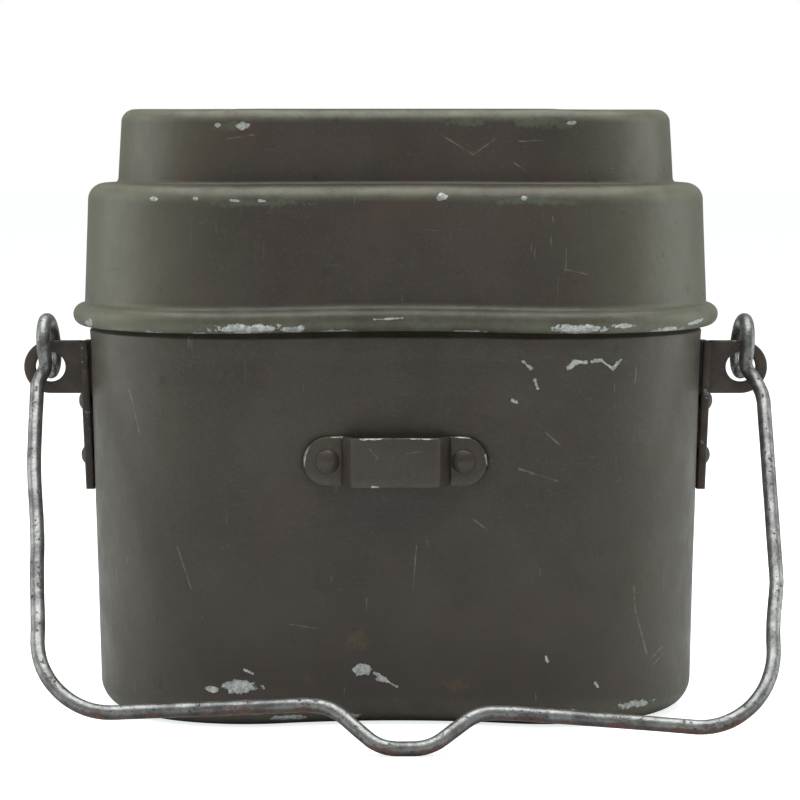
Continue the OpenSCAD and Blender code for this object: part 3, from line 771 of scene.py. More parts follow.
def lid_profile():
    """The lid's section, from the inside of its top, down to the bead and up the outside."""
    wall_a = math.degrees(math.acos((SKIRT_FOOT_O - BEAD_O) / BEAD_R))
    inner_a = math.degrees(math.acos((SKIRT_FOOT_O - SHEET - BEAD_O) / CHANNEL_R))
    end_a = -222
    shoulder_o = SKIRT_TOP_O - SHOULDER_R
    crown_o = CROWN_TOP_O - CROWN_R
    crown_cz = TOP_Z - CROWN_R
    foot = (CROWN_FOOT_O + FOOT_R, SHOULDER_Z + FOOT_R)
    inner_crown = fillet(crown_o, crown_cz, CROWN_R - SHEET, 90, 0, 8)
    inner_foot = fillet(*foot, FOOT_R + SHEET, 180, 270, 5)
    inner_shoulder = fillet(shoulder_o, SHOULDER_CZ, INNER_SHOULDER_R, 90, 0, 10)
    channel = fillet(BEAD_O, BEAD_Z, CHANNEL_R, inner_a, end_a, 22)
    bead = fillet(BEAD_O, BEAD_Z, BEAD_R, end_a, wall_a, 34)
    shoulder = fillet(shoulder_o, SHOULDER_CZ, SHOULDER_R, 0, 90, 14)
    outer_foot = fillet(*foot, FOOT_R, 270, 180, 6)
    crown = fillet(crown_o, crown_cz, CROWN_R, 0, 90, 12)
    return (
        tagged(inner_crown + straight(inner_crown[-1], inner_foot[0], 4), bare=1.0)
        + tagged(inner_foot + inner_shoulder, bare=1.0)
        + tagged(straight(inner_shoulder[-1], channel[0], 8) + channel, bare=1.0)
        + tagged(bead, edge=0.62)
        + tagged(straight(bead[-1], shoulder[0], 16), edge=0.0)
        + tagged(shoulder, edge=lambda s: 0.95 * hump(s))
        + tagged(straight(shoulder[-1], outer_foot[0], 4), edge=0.15)
        + tagged(outer_foot, edge=0.0)
        + tagged(straight(outer_foot[-1], crown[0], 8), edge=0.0)
        + tagged(crown, edge=hump)
    )


# Chips that go through the paint: (x, y, z, half width, half height), in mm
POT_CHIPS = (
    (-44, -48, 12.4, 9, 3.2), (-52, -48, 11.4, 3.2, 1.8), (-9.5, -42, 16.2, 5, 2.6),
    (-4, -42, 13.4, 3, 1.4), (-30, -44, 2.6, 9, 1.5), (-14, -42, 2.4, 6, 1.2), (50, -48, 4.6, 7, 1.8),
    (70, -46, 5.6, 10, 2.2), (40, 56, 34, 4.4, 3), (-30, 56, 92, 5, 2.6), (70, 52, 100, 6, 2.2),
    (-62, 52, 5, 9, 2), (10, 56, 6, 6, 1.8),
)
LID_CHIPS = (
    (-42, -48, 114.5, 16, 2.5), (-28, -47, 114.3, 7, 1.5), (-55, -48, 112.8, 4, 1.2),
    (-16, -45, 113.2, 10, 1.5), (51, -49, 114.5, 14, 2.2), (64, -49, 115.2, 5, 1.3),
    (78, -46, 113.4, 10, 1.7), (-88, -18, 114.6, 2.6, 2.4), (20, -45, 113.4, 8, 1.2),
    (-43, -36, 171.2, 3.4, 1.7), (-50, -37, 171.4, 1.8, 1.2), (13.3, -44, 151.2, 3, 1.8),
    (50, -34, 172, 2.2, 1.2), (-68, -48, 150.6, 1.8, 1), (-56, -48, 150.8, 1.4, 1),
    (36, -47, 151, 1.5, 0.9), (20, 58, 115.2, 9, 2), (-48, 57, 152.5, 5, 2), (52, 46, 173.5, 6, 1.8),
)
# Rubbed or stained places, given as the chips are
LID_SCUFFS = (
    (42, -33, 172, 17, 3.4), (20, -32, 172, 12, 2.2), (-46, -38, 171, 9, 2.6), (40, -47, 150, 26, 2),
    (-40, -47, 149.6, 30, 2), (6, -44, 112, 30, 2.6), (0, 48, 173, 30, 3),
)
POT_SCUFFS = (
    (-25, -46, 14.4, 3.4, 3), (-11, -44, 25, 6, 6), (17, -43, 12, 7, 4), (0, 56, 7, 20, 3),
)
# Nicks and scratches on the front: (x, z, x, z, half width), in mm
POT_NICKS = (
    (48.8, 103.4, 51, 105, 1.3), (51, 105, 53.6, 104.8, 0.9), (55.4, 105, 58, 105.2, 0.9),
    (58, 105.2, 61.4, 102.8, 0.8), (61.4, 102.8, 63.8, 105.2, 0.9), (36, 105, 38.2, 103.2, 0.8),
    (39.2, 99.8, 40, 97.6, 0.8), (33, 94, 34.6, 93.2, 0.8), (-6, 15.2, 0.4, 11.2, 0.8),
    (-43, 17.2, -40.6, 16.2, 0.7), (42.8, 21, 43.2, 19.6, 0.8), (57, 13, 57.6, 11.8, 0.7),
)
LID_NICKS = (
    (-84, 112.6, -80, 112.2, 0.9), (-70, 113, -66, 112.8, 0.8), (-6, 116.9, 2, 117.3, 0.5),
    (84, 114.6, 88, 115.6, 0.9), (-46, 150.4, -44, 150.2, 0.6), (-38, 150.4, -36.6, 150.2, 0.6),
)
POT_SCRATCHES = (
    (35, 74.6, 45.4, 71.4, 0.55), (68, 40, 68.6, 33, 0.45), (68.6, 33, 72.4, 19, 0.45),
    (42.4, 85, 46.8, 81, 0.40), (-62, 52, -58, 40, 0.35), (6, 52, 5, 40, 0.35),
    (-30, 30, -22, 28.4, 0.35), (22, 60, 26, 57, 0.35), (-76, 96, -73, 84, 0.35),
    (73, 18, 77, 21.4, 0.35), (74, 16.4, 77.6, 19.4, 0.35),
)
LID_SCRATCHES = (
    (13, 168.6, 22, 163, 0.40), (22, 163, 28.6, 167.6, 0.40), (35, 166.8, 42, 167, 0.45),
    (33.6, 160.6, 36.6, 158.8, 0.45), (-48, 167.4, -40, 168.6, 0.35), (48, 131, 54, 129.6, 0.35),
)
LOOP_TOP = LOOP_Z + LOOP_H / 2
LOOP_NICKS = (
    (-25.9, LOOP_Z + 1, -24.6, LOOP_Z + 4.4, 0.5), (-18, LOOP_TOP - 0.1, -15, LOOP_TOP - 0.1, 0.4),
    (17, LOOP_TOP - 0.1, 21, LOOP_TOP - 0.4, 0.4), (25.4, LOOP_Z + 2, 26, LOOP_Z - 1, 0.5),
    (-9.6, LOOP_TOP - 0.2, -3, LOOP_TOP, 0.7), (-3, LOOP_TOP, 4.6, LOOP_TOP + 0.1, 0.45),
    (4.6, LOOP_TOP + 0.1, 12, LOOP_TOP, 0.8), (-26, LOOP_Z - 2, -25.4, LOOP_Z + 2.6, 0.5),
    (-6.4, LOOP_TOP - LOOP_H, -5, LOOP_TOP - LOOP_H, 0.8),
)
LOOP_SCRATCHES = (
    (-7.4, LOOP_Z + 4, -5, LOOP_Z + 1.2, 0.30), (3, LOOP_Z + 2.6, 8, LOOP_Z + 3.4, 0.30),
)
NOWHERE = ((0, 0, -500, 1, 1),)  # for a finish with no placed chips or rubs

pot_paint = worn_paint("pot_paint", POT_CHIPS, POT_SCUFFS, POT_NICKS, POT_SCRATCHES, stain=srgb(92, 80, 48))
lid_paint = worn_paint("lid_paint", LID_CHIPS, LID_SCUFFS, LID_NICKS, LID_SCRATCHES, ends=0.60)
loop_paint = worn_paint(
    "loop_paint", NOWHERE, NOWHERE, LOOP_NICKS, LOOP_SCRATCHES, rub_and_sheen_share=0.25, edge_wear=0.12)
bracket_steel = dark_steel("bracket_steel", srgb(64, 56, 51), srgb(84, 75, 68), 0.075)
rivet_steel = dark_steel("rivets", srgb(56, 51, 46), srgb(78, 71, 62), 0.10)
bail_wire = wire_steel("bail_wire", srgb(112, 113, 112), srgb(172, 175, 172), 0.04)
handle_wire = wire_steel("handle_wire", srgb(126, 125, 120), srgb(180, 180, 174), 0.06)
rim_wire = wire_steel("rim_wire", srgb(96, 92, 86), srgb(132, 127, 118), 0.09)

pot = drawn_skin("pot_body", pot_profile(), pot_warp)
finish_piece(pot, "pot", ["pot_shell"], pot_paint)

lid = drawn_skin("lid_body", lid_profile(), lid_warp)
finish_piece(lid, "lid", ["lid_shell"], lid_paint)

rim_points = [lid_warp(x, y, BEAD_Z) for x, y in outline(BEAD_O)]
rim = tube("lid_rim_hoop", rim_points, 1.6, sides=12, closed=True)
finish_piece(rim, "lid", ["lid_rim_wire"], rim_wire)


# ---------------------------------------------------------------- bail

SOFT_R = 12.0  # the real dip is bent rounder than the CAD's, within the same width and depth
CAD_RAMP = (GRIP_DEPTH - 2 * GRIP_R * (1 - cosd(GRIP_A))) / sind(GRIP_A)
GRIP_HALF = GRIP_FLAT + 2 * GRIP_R * sind(GRIP_A) + CAD_RAMP * cosd(GRIP_A)
SOFT_RAMP = max((GRIP_DEPTH - 2 * SOFT_R * (1 - cosd(GRIP_A))) / sind(GRIP_A), 0.5)
SOFT_FLAT = max(GRIP_HALF - 2 * SOFT_R * sind(GRIP_A) - SOFT_RAMP * cosd(GRIP_A), 0.5)
NECK_T = math.sqrt((EYE_R + NECK_BEND_R) ** 2 - NECK_BEND_R ** 2)
NECK_A = math.degrees(math.acos(NECK_BEND_R / (EYE_R + NECK_BEND_R)))
EYE_OPEN = 28  # how far short of closing an eye stops, in degrees
EYE_A = 360 - EYE_OPEN - (90 - NECK_A)


def bail_half(side):
    """Centre line from the middle of the grip to the end of the eye on one side."""
    leg_t = BAR_T - BAIL_CORNER_R - NECK_T
    lean = math.degrees(math.atan(-(BAIL_FLARE + side * BAIL_SKEW) / leg_t))
    turn = 90 - lean
    leg_l = (BAR_T - BAIL_CORNER_R * (1 - cosd(turn)) - NECK_T) / sind(turn)
    bar_l = EYE_X - leg_l * cosd(turn) - BAIL_CORNER_R * sind(turn) - side * BAIL_SKEW - GRIP_HALF
    start = (
        Matrix.Translation((0, 0, EYE_Z))
        @ Matrix.Rotation(math.radians(-BAIL_REST), 4, "X")
        @ Matrix.Translation((side * BAIL_SKEW, 0, -BAIL_REACH))
        @ Matrix.Rotation(math.radians(90), 4, "Y")
    )
    points = wire_run(start, [
        (180, SOFT_FLAT, SOFT_R, GRIP_A, 0),
        (180, SOFT_RAMP, SOFT_R, GRIP_A, 0),
        (180, bar_l, BAIL_CORNER_R, turn, 0),
        (90, leg_l, NECK_BEND_R, NECK_A, lean),
        (180, 0, EYE_R, EYE_A, 0),
    ])
    return [Vector((side * p.x, p.y, p.z)) for p in points]


# How far the real, hand-bent wire strays outward at a distance below the eyes' axis, in mm
LEFT_STRAY = ((EYE_R * 0.86, 0.0), (13, 1.7), (36, 1.7), (74, -0.5), (100, -1.6), (140, -1.0))
RIGHT_STRAY = ((EYE_R * 0.86, 0.0), (13, 2.6), (19, 3.8), (36, 3.3), (74, 1.6), (100, -1.8), (140, -1.6))
LEG_X = (70, 95)  # the distance from the middle over which the bar turns into a leg
EYE_FADE = (14, 8)  # the distance below the eyes' axis over which sway gives way to an eye's twist
BAR_DROOP = 0.085  # how much the right half of the bar slopes away from the eyes
DROOP_X = 32  # where that slope starts
WIRE_LIMIT = EAR_X + EAR_R - WIRE_R - 0.15  # keeps the wire inside the width of the ears
EYE_TWIST = 0.13  # how far each eye is turned, its rear inwards, within the play of the ear's hole
BAR_RISE = 2.6  # how much the left half of the bar climbs towards the dip
RISE_X = (-85, -23)  # where that climb starts and ends
DIP_X = (-6, -26)  # where the dip, which doesn't climb, gives way to it
SWAY = 0.35  # the small unevenness of the whole wire


def between(table, at):
    """Smooth reading of a table of (place, value)."""
    for (a, low), (b, high) in zip(table, table[1:]):
        if at <= b:
            t = share(at, a, b)
            return low + (high - low) * (3 - 2 * t) * t ** 2
    return table[-1][1]


def hand_bent(points):
    """Bends the wire as the real one is: wandering legs, turned eyes and a bar that slopes to the right."""
    eye = Vector((0, 0, EYE_Z))
    down = Vector((0, -sind(BAIL_REST), -cosd(BAIL_REST)))
    across = Vector((0, -cosd(BAIL_REST), sind(BAIL_REST)))
    out = []
    for p in points:
        side = 1 if p.x > 0 else -1
        below = (p - eye).dot(down)
        fore = (p - eye).dot(across)
        on_leg = share(abs(p.x), *LEG_X)
        stray = between(RIGHT_STRAY if side > 0 else LEFT_STRAY, below) * on_leg
        near_eye = share(below, *EYE_FADE)
        on_bar = share(below, 0, BAR_T) ** 4
        droop = BAR_DROOP * max(p.x - DROOP_X, 0) * on_bar
        if side < 0:
            to_dip = share(p.x, *RISE_X)
            off_dip = share(p.x, *DIP_X)
            droop -= BAR_RISE * to_dip * on_bar * (3 - 2 * off_dip) * off_dip ** 2
        sway = noise.noise(Vector((p.x * 0.03, below * 0.03, 3))) * SWAY * (1 - near_eye)
        twist = EYE_TWIST * (fore - EYE_R) * near_eye
        moved = p + Vector((side * (stray + twist), 0, 0)) + down * (droop + sway)
        moved.x = max(min(moved.x, WIRE_LIMIT), -WIRE_LIMIT)
        out.append(moved)
    return out


left_half = bail_half(-1)
right_half = bail_half(1)
bail_line = hand_bent(list(reversed(left_half))[:-1] + right_half)
bail = tube("bail_hoop", bail_line, WIRE_R, sides=20, wobble=0.03)
finish_piece(bail, "bail", ["bail"], bail_wire)


# ---------------------------------------------------------------- plates, loops and brackets

def joined(name, parts):
    """One object from several."""
    bm = bmesh.new()
    layer = bm.verts.layers.float.new("edge")
    for part in parts:
        first = len(bm.verts)
        bm.from_mesh(part.data)
        bm.verts.ensure_lookup_table()
        own = part.data.attributes.get("edge")
        for i in range(len(part.data.vertices)):
            bm.verts[first + i][layer] = own.data[i].value if own else 0.0
        bpy.data.objects.remove(part)
    mesh = bpy.data.meshes.new(name)
    bm.to_mesh(mesh)
    bm.free()
    for polygon in mesh.polygons:
        polygon.use_smooth = True
    return placed(name, mesh)


def strip(name, stations, thickness, corner, place, across=6):
    """A plate swept along stations [(s, low, high, inset)], its edges rounded.

    place maps (s, v, w) to a point.
    """
    verts, wear, rings = [], [], []
    for s, low, high, inset in stations:
        a, b = low + inset, high - inset
        w0, w1 = inset, thickness - inset
        c = max(min(corner, (b - a) / 2.2, (w1 - w0) / 2.2), 0.02)
        d = 0.3 * c
        ring = [
            (a + c + (b - a - 2 * c) * i / across, w0, 0.35 if i in (0, across) else 0.0)
            for i in range(across + 1)
        ]
        ring += [(b - d, w0 + d, 0.8), (b, w0 + c, 1.0), (b, w1 - c, 1.0), (b - d, w1 - d, 1.0)]
        ring += [
            (b - c - (b - a - 2 * c) * i / across, w1, 0.5 if i in (0, across) else 0.0)
            for i in range(across + 1)
        ]
        ring += [(a + d, w1 - d, 1.0), (a, w1 - c, 1.0), (a, w0 + c, 1.0), (a + d, w0 + d, 0.8)]
        rings.append(len(verts))
        for v, w, edge in ring:
            verts.append(tuple(place(s, v, w)))
            wear.append(max(edge, 1.0 if inset > 0 else 0.0))
    count = len(verts) // len(rings)
    faces = []
    for this, following in zip(rings, rings[1:]):
        faces += ring_faces(this, following, count)
    for base in (rings[0], rings[-1]):
        half = count // 2
        for i in range(half - 1):
            a, b = base + i, base + i + 1
            c, d = base + (count - 2 - i) % count, base + (count - 1 - i) % count
            faces.append((a, b, c, d) if len({a, b, c, d}) == 4 else tuple(sorted({a, b, c, d})))
    return make_object(name, verts, faces, attributes={"edge": wear})


def rounded_path(corners, radius, steps=7):
    """Dense points and directions along a 2D path with rounded corners."""
    points = [Vector(corners[0])]
    for i in range(1, len(corners) - 1):
        here = Vector(corners[i])
        back = (Vector(corners[i - 1]) - here).normalized()
        on = (Vector(corners[i + 1]) - here).normalized()
        half = back.angle(on) / 2
        reach = radius / math.tan(half)
        start, end = here + back * reach, here + on * reach
        for k in range(steps + 1):
            t = k / steps
            points.append(start * (1 - t) ** 2 + here * 2 * t * (1 - t) + end * t ** 2)
    points.append(Vector(corners[-1]))
    dense = [points[0]]
    for p, q in zip(points, points[1:]):
        pieces = max(int((q - p).length / 1.2), 1)
        dense += [p + (q - p) * k / pieces for k in range(1, pieces + 1)]
    return dense


def strap_loop(name, arc_r, arc_cy, grow, lean):
    """A stadium-ended strip riveted at its ends and raised into a bridge between them."""
    rise = BRIDGE_GAP - LAY_GAP
    ramp = rise / tand(LOOP_RAMP_A)
    half = LOOP_L / 2
    foot = BRIDGE_L / 2 + ramp
    path = rounded_path([
        (-half, 0), (-foot, 0), (-BRIDGE_L / 2, rise), (BRIDGE_L / 2, rise), (foot, 0), (half, 0)], 0.9)
    end_r = LOOP_H / 2
    wall_y = arc_cy + arc_r
    turn = Matrix.Translation((0, wall_y, LOOP_Z)) @ Matrix.Rotation(math.radians(lean), 4, "X")
    rounds = [half - end_r + end_r * cosd(phi) for phi in range(4, 90, 9)]
    stations_s = sorted([p.x for p in path if abs(p.x) < half - end_r] + rounds + [-x for x in rounds])
    least_sq = 0.04  # keeps the very tips from closing to a point

    def at(s):
        for p, q in zip(path, path[1:]):
            if p.x <= s <= q.x and q.x > p.x:
                d = (q - p).normalized()
                return p.y + (q.y - p.y) * (s - p.x) / (q.x - p.x), Vector((-d.y, d.x))
        return 0.0, Vector((0, 1))

    def normal_at(s):
        total = Vector((0, 0))
        for step in (-0.35, 0, 0.35):
            total += at(s + step)[1]
        return total.normalized()

    def place(s, v, w):
        h, _ = at(s)
        side = normal_at(s)
        ss, hh = s + side.x * w, LAY_GAP + h + side.y * w
        r = arc_r + grow * hh
        x = r * math.sin(ss / arc_r)
        y = arc_cy + r * math.cos(ss / arc_r)
        return turn @ Vector((x, y - wall_y, v))

    stations = []
    for s in stations_s:
        over = max(abs(s) - (half - end_r), 0)
        reach = math.sqrt(max(end_r ** 2 - over ** 2, least_sq))
        tip = 0.35 if over > end_r * 0.985 else 0.0
        stations.append((s, -reach, reach, tip))
    return strip(name, stations, LOOP_T, 0.38, place, across=5)


front_r = DIP_R - wall_o(LOOP_Z)
back_r = BACK_R + wall_o(LOOP_Z)
front_loop = strap_loop("front_loop", front_r, DIP_CY, -1, POT_DRAFT)
finish_piece(front_loop, "pot", ["front_strap_loop"], loop_paint)
back_loop = strap_loop("back_loop", back_r, BACK_CY, 1, -POT_DRAFT)
finish_piece(back_loop, "pot", ["back_strap_loop"], loop_paint)


def corner_cuts(corner, steps):
    """For each step (0 to 1) into a rounded corner: how far along it is and how much is cut away."""
    return [
        (corner * t, corner - math.sqrt(max(corner ** 2 - (corner * (1 - t)) ** 2, 0)))
        for t in steps
    ]


def ear_bracket(name, side):
    """A leaning flange against the pot's end, with a holed ear standing out of its front edge."""
    def flange_place(z, v, w):
        o = FLANGE_O + (z - FLANGE_Z) * tand(FLANGE_LEAN) + w / cosd(FLANGE_LEAN)
        a = math.radians(v)
        return side * (END_C + (END_R + o) * math.cos(a)), (END_R + o) * math.sin(a), z

    low = -math.degrees(math.asin(EAR_T / 2 / END_R))
    high = low + math.degrees(math.asin(FLANGE_W / END_R))
    top = FLANGE_Z + FLANGE_H
    corner = 2.2
    cuts = [
        (along, high - math.degrees(cut / END_R))
        for along, cut in corner_cuts(corner, (0.0, 0.12, 0.3, 0.6, 1.0))
    ]
    plain = FLANGE_H - 2 * corner
    stations = [(FLANGE_Z + along, low, end, 0.0) for along, end in cuts]
    stations += [(FLANGE_Z + corner + plain * i / 12, low, high, 0.0) for i in range(1, 12)]
    stations += [(top - along, low, end, 0.0) for along, end in reversed(cuts)]
    flange = strip(name + "_flange", stations, EAR_T, 0.5, flange_place, across=8)

    inner_x = EAR_X - (END_C + END_R + flange_at(EAR_Z) - EAR_T / 2)
    sides, c, half = 72, 0.45, EAR_T / 2
    section = [
        (1, 0.0, half - c), (1, 0.13, half - 0.13), (1, c, half), (0, c, half), (0, 0.13, half - 0.13),
        (0, 0.0, half - c), (0, 0.0, c - half), (0, 0.13, 0.13 - half), (0, c, -half), (1, c, -half),
        (1, 0.13, 0.13 - half), (1, 0.0, c - half),
    ]
    verts, wear = [], []
    for k in range(sides):
        a = 2 * math.pi * k / sides
        cx, cz = math.cos(a), math.sin(a)
        outer = EAR_R
        if cx < 0:
            outer = min(inner_x / max(-cx, 1e-6), EAR_R / max(abs(cz), 1e-6))
        for is_outer, inset, y in section:
            r = outer - inset if is_outer else EAR_HOLE_R + inset
            x = side * (EAR_X + r * cx)
            verts.append((x, y, EAR_Z + r * cz))
            wear.append(0.9 if inset < 0.3 else 0.25)
    n = len(section)
    faces = []
    for k in range(sides):
        faces += ring_faces(k * n, ((k + 1) % sides) * n, n)
    ear = make_object(name + "_ear", verts, faces, attributes={"edge": wear})
    return joined(name, [flange, ear])


HEAD_GAP = 0.05  # how far a rivet's head stands clear of what it holds
FRONT_HEAD_GAP = 0.2  # the same for the front loop, whose strip is bent to a hollow arc
EAR_HEAD_H = RIVET_HEAD_H + 0.9  # the ears' heads stand prouder than the others
EAR_GRIP = EAR_T + SHEET + FLANGE_GAP + LAY_GAP + 0.25
LOOP_GRIP = LOOP_T + SHEET + 2 * LAY_GAP + 0.2
HINGE_GRIP = HINGE_T + SHEET + 2 * LAY_GAP + 0.2

for side, label in ((1, "right"), (-1, "left")):
    bracket = ear_bracket(label + "_ear_plate", side)
    finish_piece(bracket, "pot", [label + "_ear_bracket"], bracket_steel)
    for level, z in (("upper", UPPER_RIVET_Z), ("lower", LOWER_RIVET_Z)):
        node = f"{label}_ear_{level}_rivet"
        place = on_end(side, EAR_RIVET_YAW, flange_at(z), z, FLANGE_LEAN)
        place = place @ Matrix.Translation((0, 0, HEAD_GAP))
        rivet = lathe_rivet(node + "_head", place, EAR_GRIP, seed=side * 3 + z, head_h=EAR_HEAD_H)
        finish_piece(rivet, "pot", [node], rivet_steel)

loop_face_o = wall_o(LOOP_Z) + LAY_GAP + LOOP_T
for side, label in ((-1, "left"), (1, "right")):
    for face, arc, gap, shim, seed in (
        ("front", FRONT_ARC, FRONT_HEAD_GAP, FRONT_HEAD_GAP, 5.5),
        ("back", BACK_ARC, HEAD_GAP, 0, 8.5),
    ):
        place = on_arc(arc, side * LOOP_RIVET_X, loop_face_o, LOOP_Z, POT_DRAFT)
        place = place @ Matrix.Translation((0, 0, gap))
        node = f"{face}_loop_{label}_rivet"
        rivet = lathe_rivet(node + "_head", place, LOOP_GRIP + shim, seed=side * seed)
        finish_piece(rivet, "pot", [node], loop_paint)


# ---------------------------------------------------------------- the lid's handle

def pipe(name, length, outer, bore):
    """A barrel along X with rounded ends."""
    c, half, sides = 0.3, length / 2, 32
    section = [
        (half - c, outer), (half - 0.09, outer - 0.09), (half, outer - c), (half, bore + 0.2),
        (half - 0.2, bore), (0.2 - half, bore), (-half, bore + 0.2), (-half, outer - c),
        (0.09 - half, outer - 0.09), (c - half, outer),
    ]
    verts, wear = [], []
    for k in range(sides):
        a = 2 * math.pi * k / sides
        for x, r in section:
            verts.append((x, HINGE_Y + r * math.cos(a), HINGE_Z + r * math.sin(a)))
            wear.append(0.9 if abs(x) > half - 0.5 and r > bore + 0.4 else 0.0)
    n = len(section)
    faces = []
    for k in range(sides):
        faces += ring_faces(k * n, ((k + 1) % sides) * n, n)
    return make_object(name, verts, faces, attributes={"edge": wear})


def lid_handle_bracket():
    """A riveted plate on the lid's back whose lower edge curls into the handle's barrel."""
    half_a = math.asin(HINGE_L / 2 / BACK_R)
    reach = BACK_R * half_a
    height = HINGE_PLATE_TOP - HINGE_Z

    def plate_place(s, v, w):
        o = skirt_o(HINGE_Z + v) + LAY_GAP + w
        r = BACK_R + o
        return r * math.sin(s / BACK_R), BACK_CY + r * math.cos(s / BACK_R), HINGE_Z + v

    corner = 3.0
    stations = [
        (along - reach, 0.0, height - cut, 0.0)
        for along, cut in corner_cuts(corner, (0.0, 0.1, 0.3, 0.6, 1.0))
    ]
    middle = [
        ((corner - reach) * (1 - i / 9) + (reach - corner) * i / 9, 0.0, height, 0.0)
        for i in range(1, 9)
    ]
    stations += middle + [(-s, low, high, inset) for s, low, high, inset in reversed(stations)]
    plate = strip("hinge_plate", stations, HINGE_T, 0.3, plate_place, across=6)

    def web_place(s, v, w):
        near = BACK_CY + math.sqrt((BACK_R + LAY_GAP + skirt_o(HINGE_Z) + 0.3) ** 2 - s ** 2)
        return s, near + (HINGE_Y - near) * v / 10, HINGE_Z + HINGE_R - HINGE_T + w

    half = HINGE_L / 2 - 0.7
    web_stations = [(-half + 2 * half * i / 12, 0.0, 10.0, 0.0) for i in range(13)]
    web = strip("hinge_web", web_stations, HINGE_T - 0.02, 0.12, web_place, across=4)
    barrel = pipe("hinge_barrel", HINGE_L - 1, HINGE_R, HINGE_BORE_R)
    return joined("handle_hinge", [plate, web, barrel])


hinge = lid_handle_bracket()
finish_piece(hinge, "lid", ["lid_handle_bracket"], bracket_steel)
hinge_face_o = skirt_o(HINGE_RIVET_Z) + LAY_GAP + HINGE_T
for side, label in ((-1, "left"), (1, "right")):
    place = on_arc(BACK_ARC, side * HINGE_RIVET_X, hinge_face_o, HINGE_RIVET_Z, -SKIRT_DRAFT)
    place = place @ Matrix.Translation((0, 0, HEAD_GAP))
    node = f"lid_handle_{label}_rivet"
    rivet = lathe_rivet(node + "_head", place, HINGE_GRIP, seed=side * 12.5)
    finish_piece(rivet, "lid", [node], rivet_steel)


def handle_line():
    """Closed centre line: the hinge's straight, two sides and the rounded grip."""
    w, top, foot = HANDLE_W / 2, HINGE_Z, HINGE_Z - HANDLE_L
    corners = (
        (w - HANDLE_HINGE_R, top - HANDLE_HINGE_R, HANDLE_HINGE_R, 90),
        (w - HANDLE_R, foot + HANDLE_R, HANDLE_R, 0),
        (HANDLE_R - w, foot + HANDLE_R, HANDLE_R, -90),
        (HANDLE_HINGE_R - w, top - HANDLE_HINGE_R, HANDLE_HINGE_R, 180),
    )
    loop = []
    for cx, cz, r, start in corners:
        loop += fillet(cx, cz, r, start, start - 90, max(int(r * math.pi / 2), 7))
    dense = []
    for i, (x, z) in enumerate(loop):
        nx, nz = loop[(i + 1) % len(loop)]
        pieces = max(int(math.hypot(nx - x, nz - z) / 3.0), 1)
        dense += [(x + (nx - x) * k / pieces, HINGE_Y, z + (nz - z) * k / pieces) for k in range(pieces)]
    return dense


handle_r = HANDLE_WIRE_D / 2 - 0.01
handle = tube("lid_handle_wire", handle_line(), handle_r, closed=True, wobble=0.02)
finish_piece(handle, "lid_handle", ["lid_handle"], handle_wire)


# ---------------------------------------------------------------- stage, light and camera

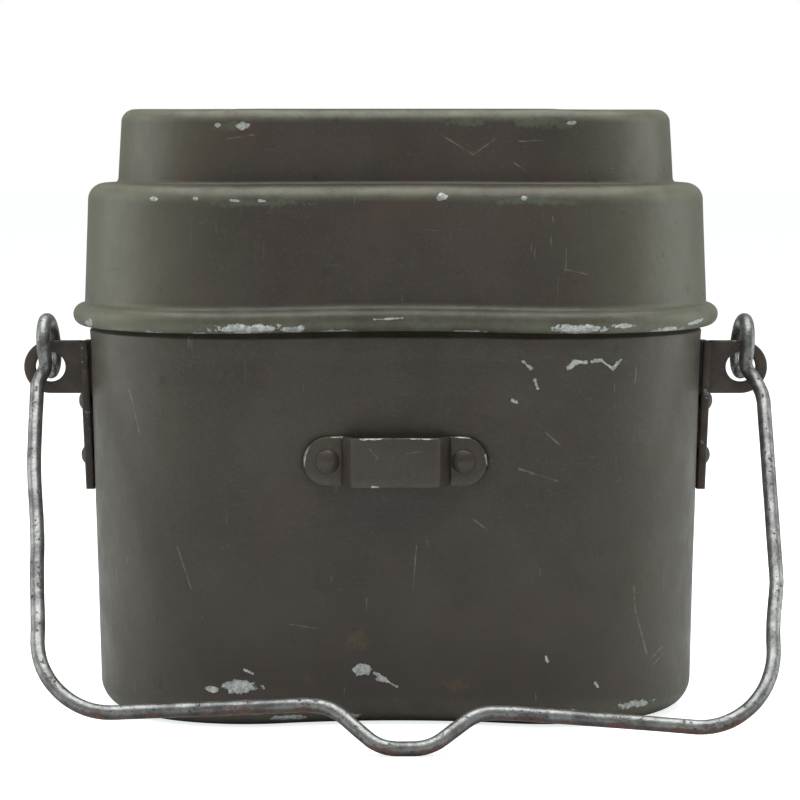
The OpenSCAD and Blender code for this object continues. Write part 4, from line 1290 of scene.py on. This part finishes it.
def stage_floor():
    """A pale floor that keeps its shadow and is lifted to near white only for the camera."""
    mesh = bpy.data.meshes.new("floor")
    corners = [(x * FLOOR_REACH, y * FLOOR_REACH, 0) for x, y in ((-1, -1), (1, -1), (1, 1), (-1, 1))]
    mesh.from_pydata(corners, [], [(0, 1, 2, 3)])
    floor = placed("floor", mesh)
    material = bpy.data.materials.new("floor")
    material.use_nodes = True
    tree = material.node_tree
    shader = tree.nodes["Principled BSDF"]
    shader.inputs["Base Color"].default_value = FLOOR_COLOUR
    shader.inputs["Roughness"].default_value = 0.9
    shader.inputs["Specular IOR Level"].default_value = 0.1
    path = tree.nodes.new("ShaderNodeLightPath")
    glow = tree.nodes.new("ShaderNodeEmission")
    glow.inputs["Color"].default_value = GLOW_COLOUR
    seen = tree.nodes.new("ShaderNodeMath")
    seen.operation = "MULTIPLY"
    seen.inputs[1].default_value = FLOOR_GLOW
    tree.links.new(path.outputs["Is Camera Ray"], seen.inputs[0])
    tree.links.new(seen.outputs[0], glow.inputs["Strength"])
    both = tree.nodes.new("ShaderNodeAddShader")
    tree.links.new(shader.outputs[0], both.inputs[0])
    tree.links.new(glow.outputs[0], both.inputs[1])
    tree.links.new(both.outputs[0], tree.nodes["Material Output"].inputs["Surface"])
    mesh.materials.append(material)


def stage_world():
    """Soft even light that the camera sees as plain white."""
    world = bpy.data.worlds.new("studio")
    bpy.context.scene.world = world
    world.use_nodes = True
    tree = world.node_tree
    back = tree.nodes["Background"]
    back.inputs["Color"].default_value = (1, 1, 1, 1)
    path = tree.nodes.new("ShaderNodeLightPath")
    level = tree.nodes.new("ShaderNodeMapRange")
    level.inputs["To Min"].default_value = WORLD_LEVEL
    level.inputs["To Max"].default_value = 1.0
    tree.links.new(path.outputs["Is Camera Ray"], level.inputs["Value"])
    tree.links.new(level.outputs["Result"], back.inputs["Strength"])


def softbox(name, place, width, height, watts):
    """A rectangular lamp aimed at the middle of the tin."""
    data = bpy.data.lights.new(name, "AREA")
    data.shape = "RECTANGLE"
    data.size, data.size_y, data.energy = width, height, watts
    lamp = placed(name, data)
    lamp.location = place
    lamp.rotation_euler = (Vector(MIDDLE) - Vector(place)).to_track_quat("-Z", "Y").to_euler()


FLOOR_REACH = 6.0  # half the floor's side, in metres
FLOOR_COLOUR, GLOW_COLOUR = (0.80, 0.84, 0.835, 1), (0.95, 1.0, 0.99, 1)
FLOOR_GLOW = 0.78  # how much the floor is lifted for the camera
WORLD_LEVEL = 0.30
MIDDLE = (0, 0, 0.08)  # of the tin, in metres, as the lamps' and camera's places are
stage_floor()
stage_world()
softbox("left_box", (-0.95, 0.10, 0.30), 0.8, 0.8, 2.7)
softbox("right_box", (0.95, 0.10, 0.30), 0.8, 0.8, 2.7)
softbox("top_box", (0, -0.05, 1.15), 1.5, 1.3, 15.0)

CAMERA_PLACE = (0.0013, -1.0, 0.176)
CAMERA_DIP = 4.9  # how far the camera looks down, in degrees
camera_data = bpy.data.cameras.new("camera")
camera_data.sensor_width = 36
camera_data.lens = 153
camera_data.clip_start = 0.01
camera = placed("camera", camera_data)
camera.location = CAMERA_PLACE
camera.rotation_euler = (math.radians(90 - CAMERA_DIP), 0, 0)
bpy.context.scene.camera = camera
bpy.context.scene.view_settings.view_transform = "Standard"
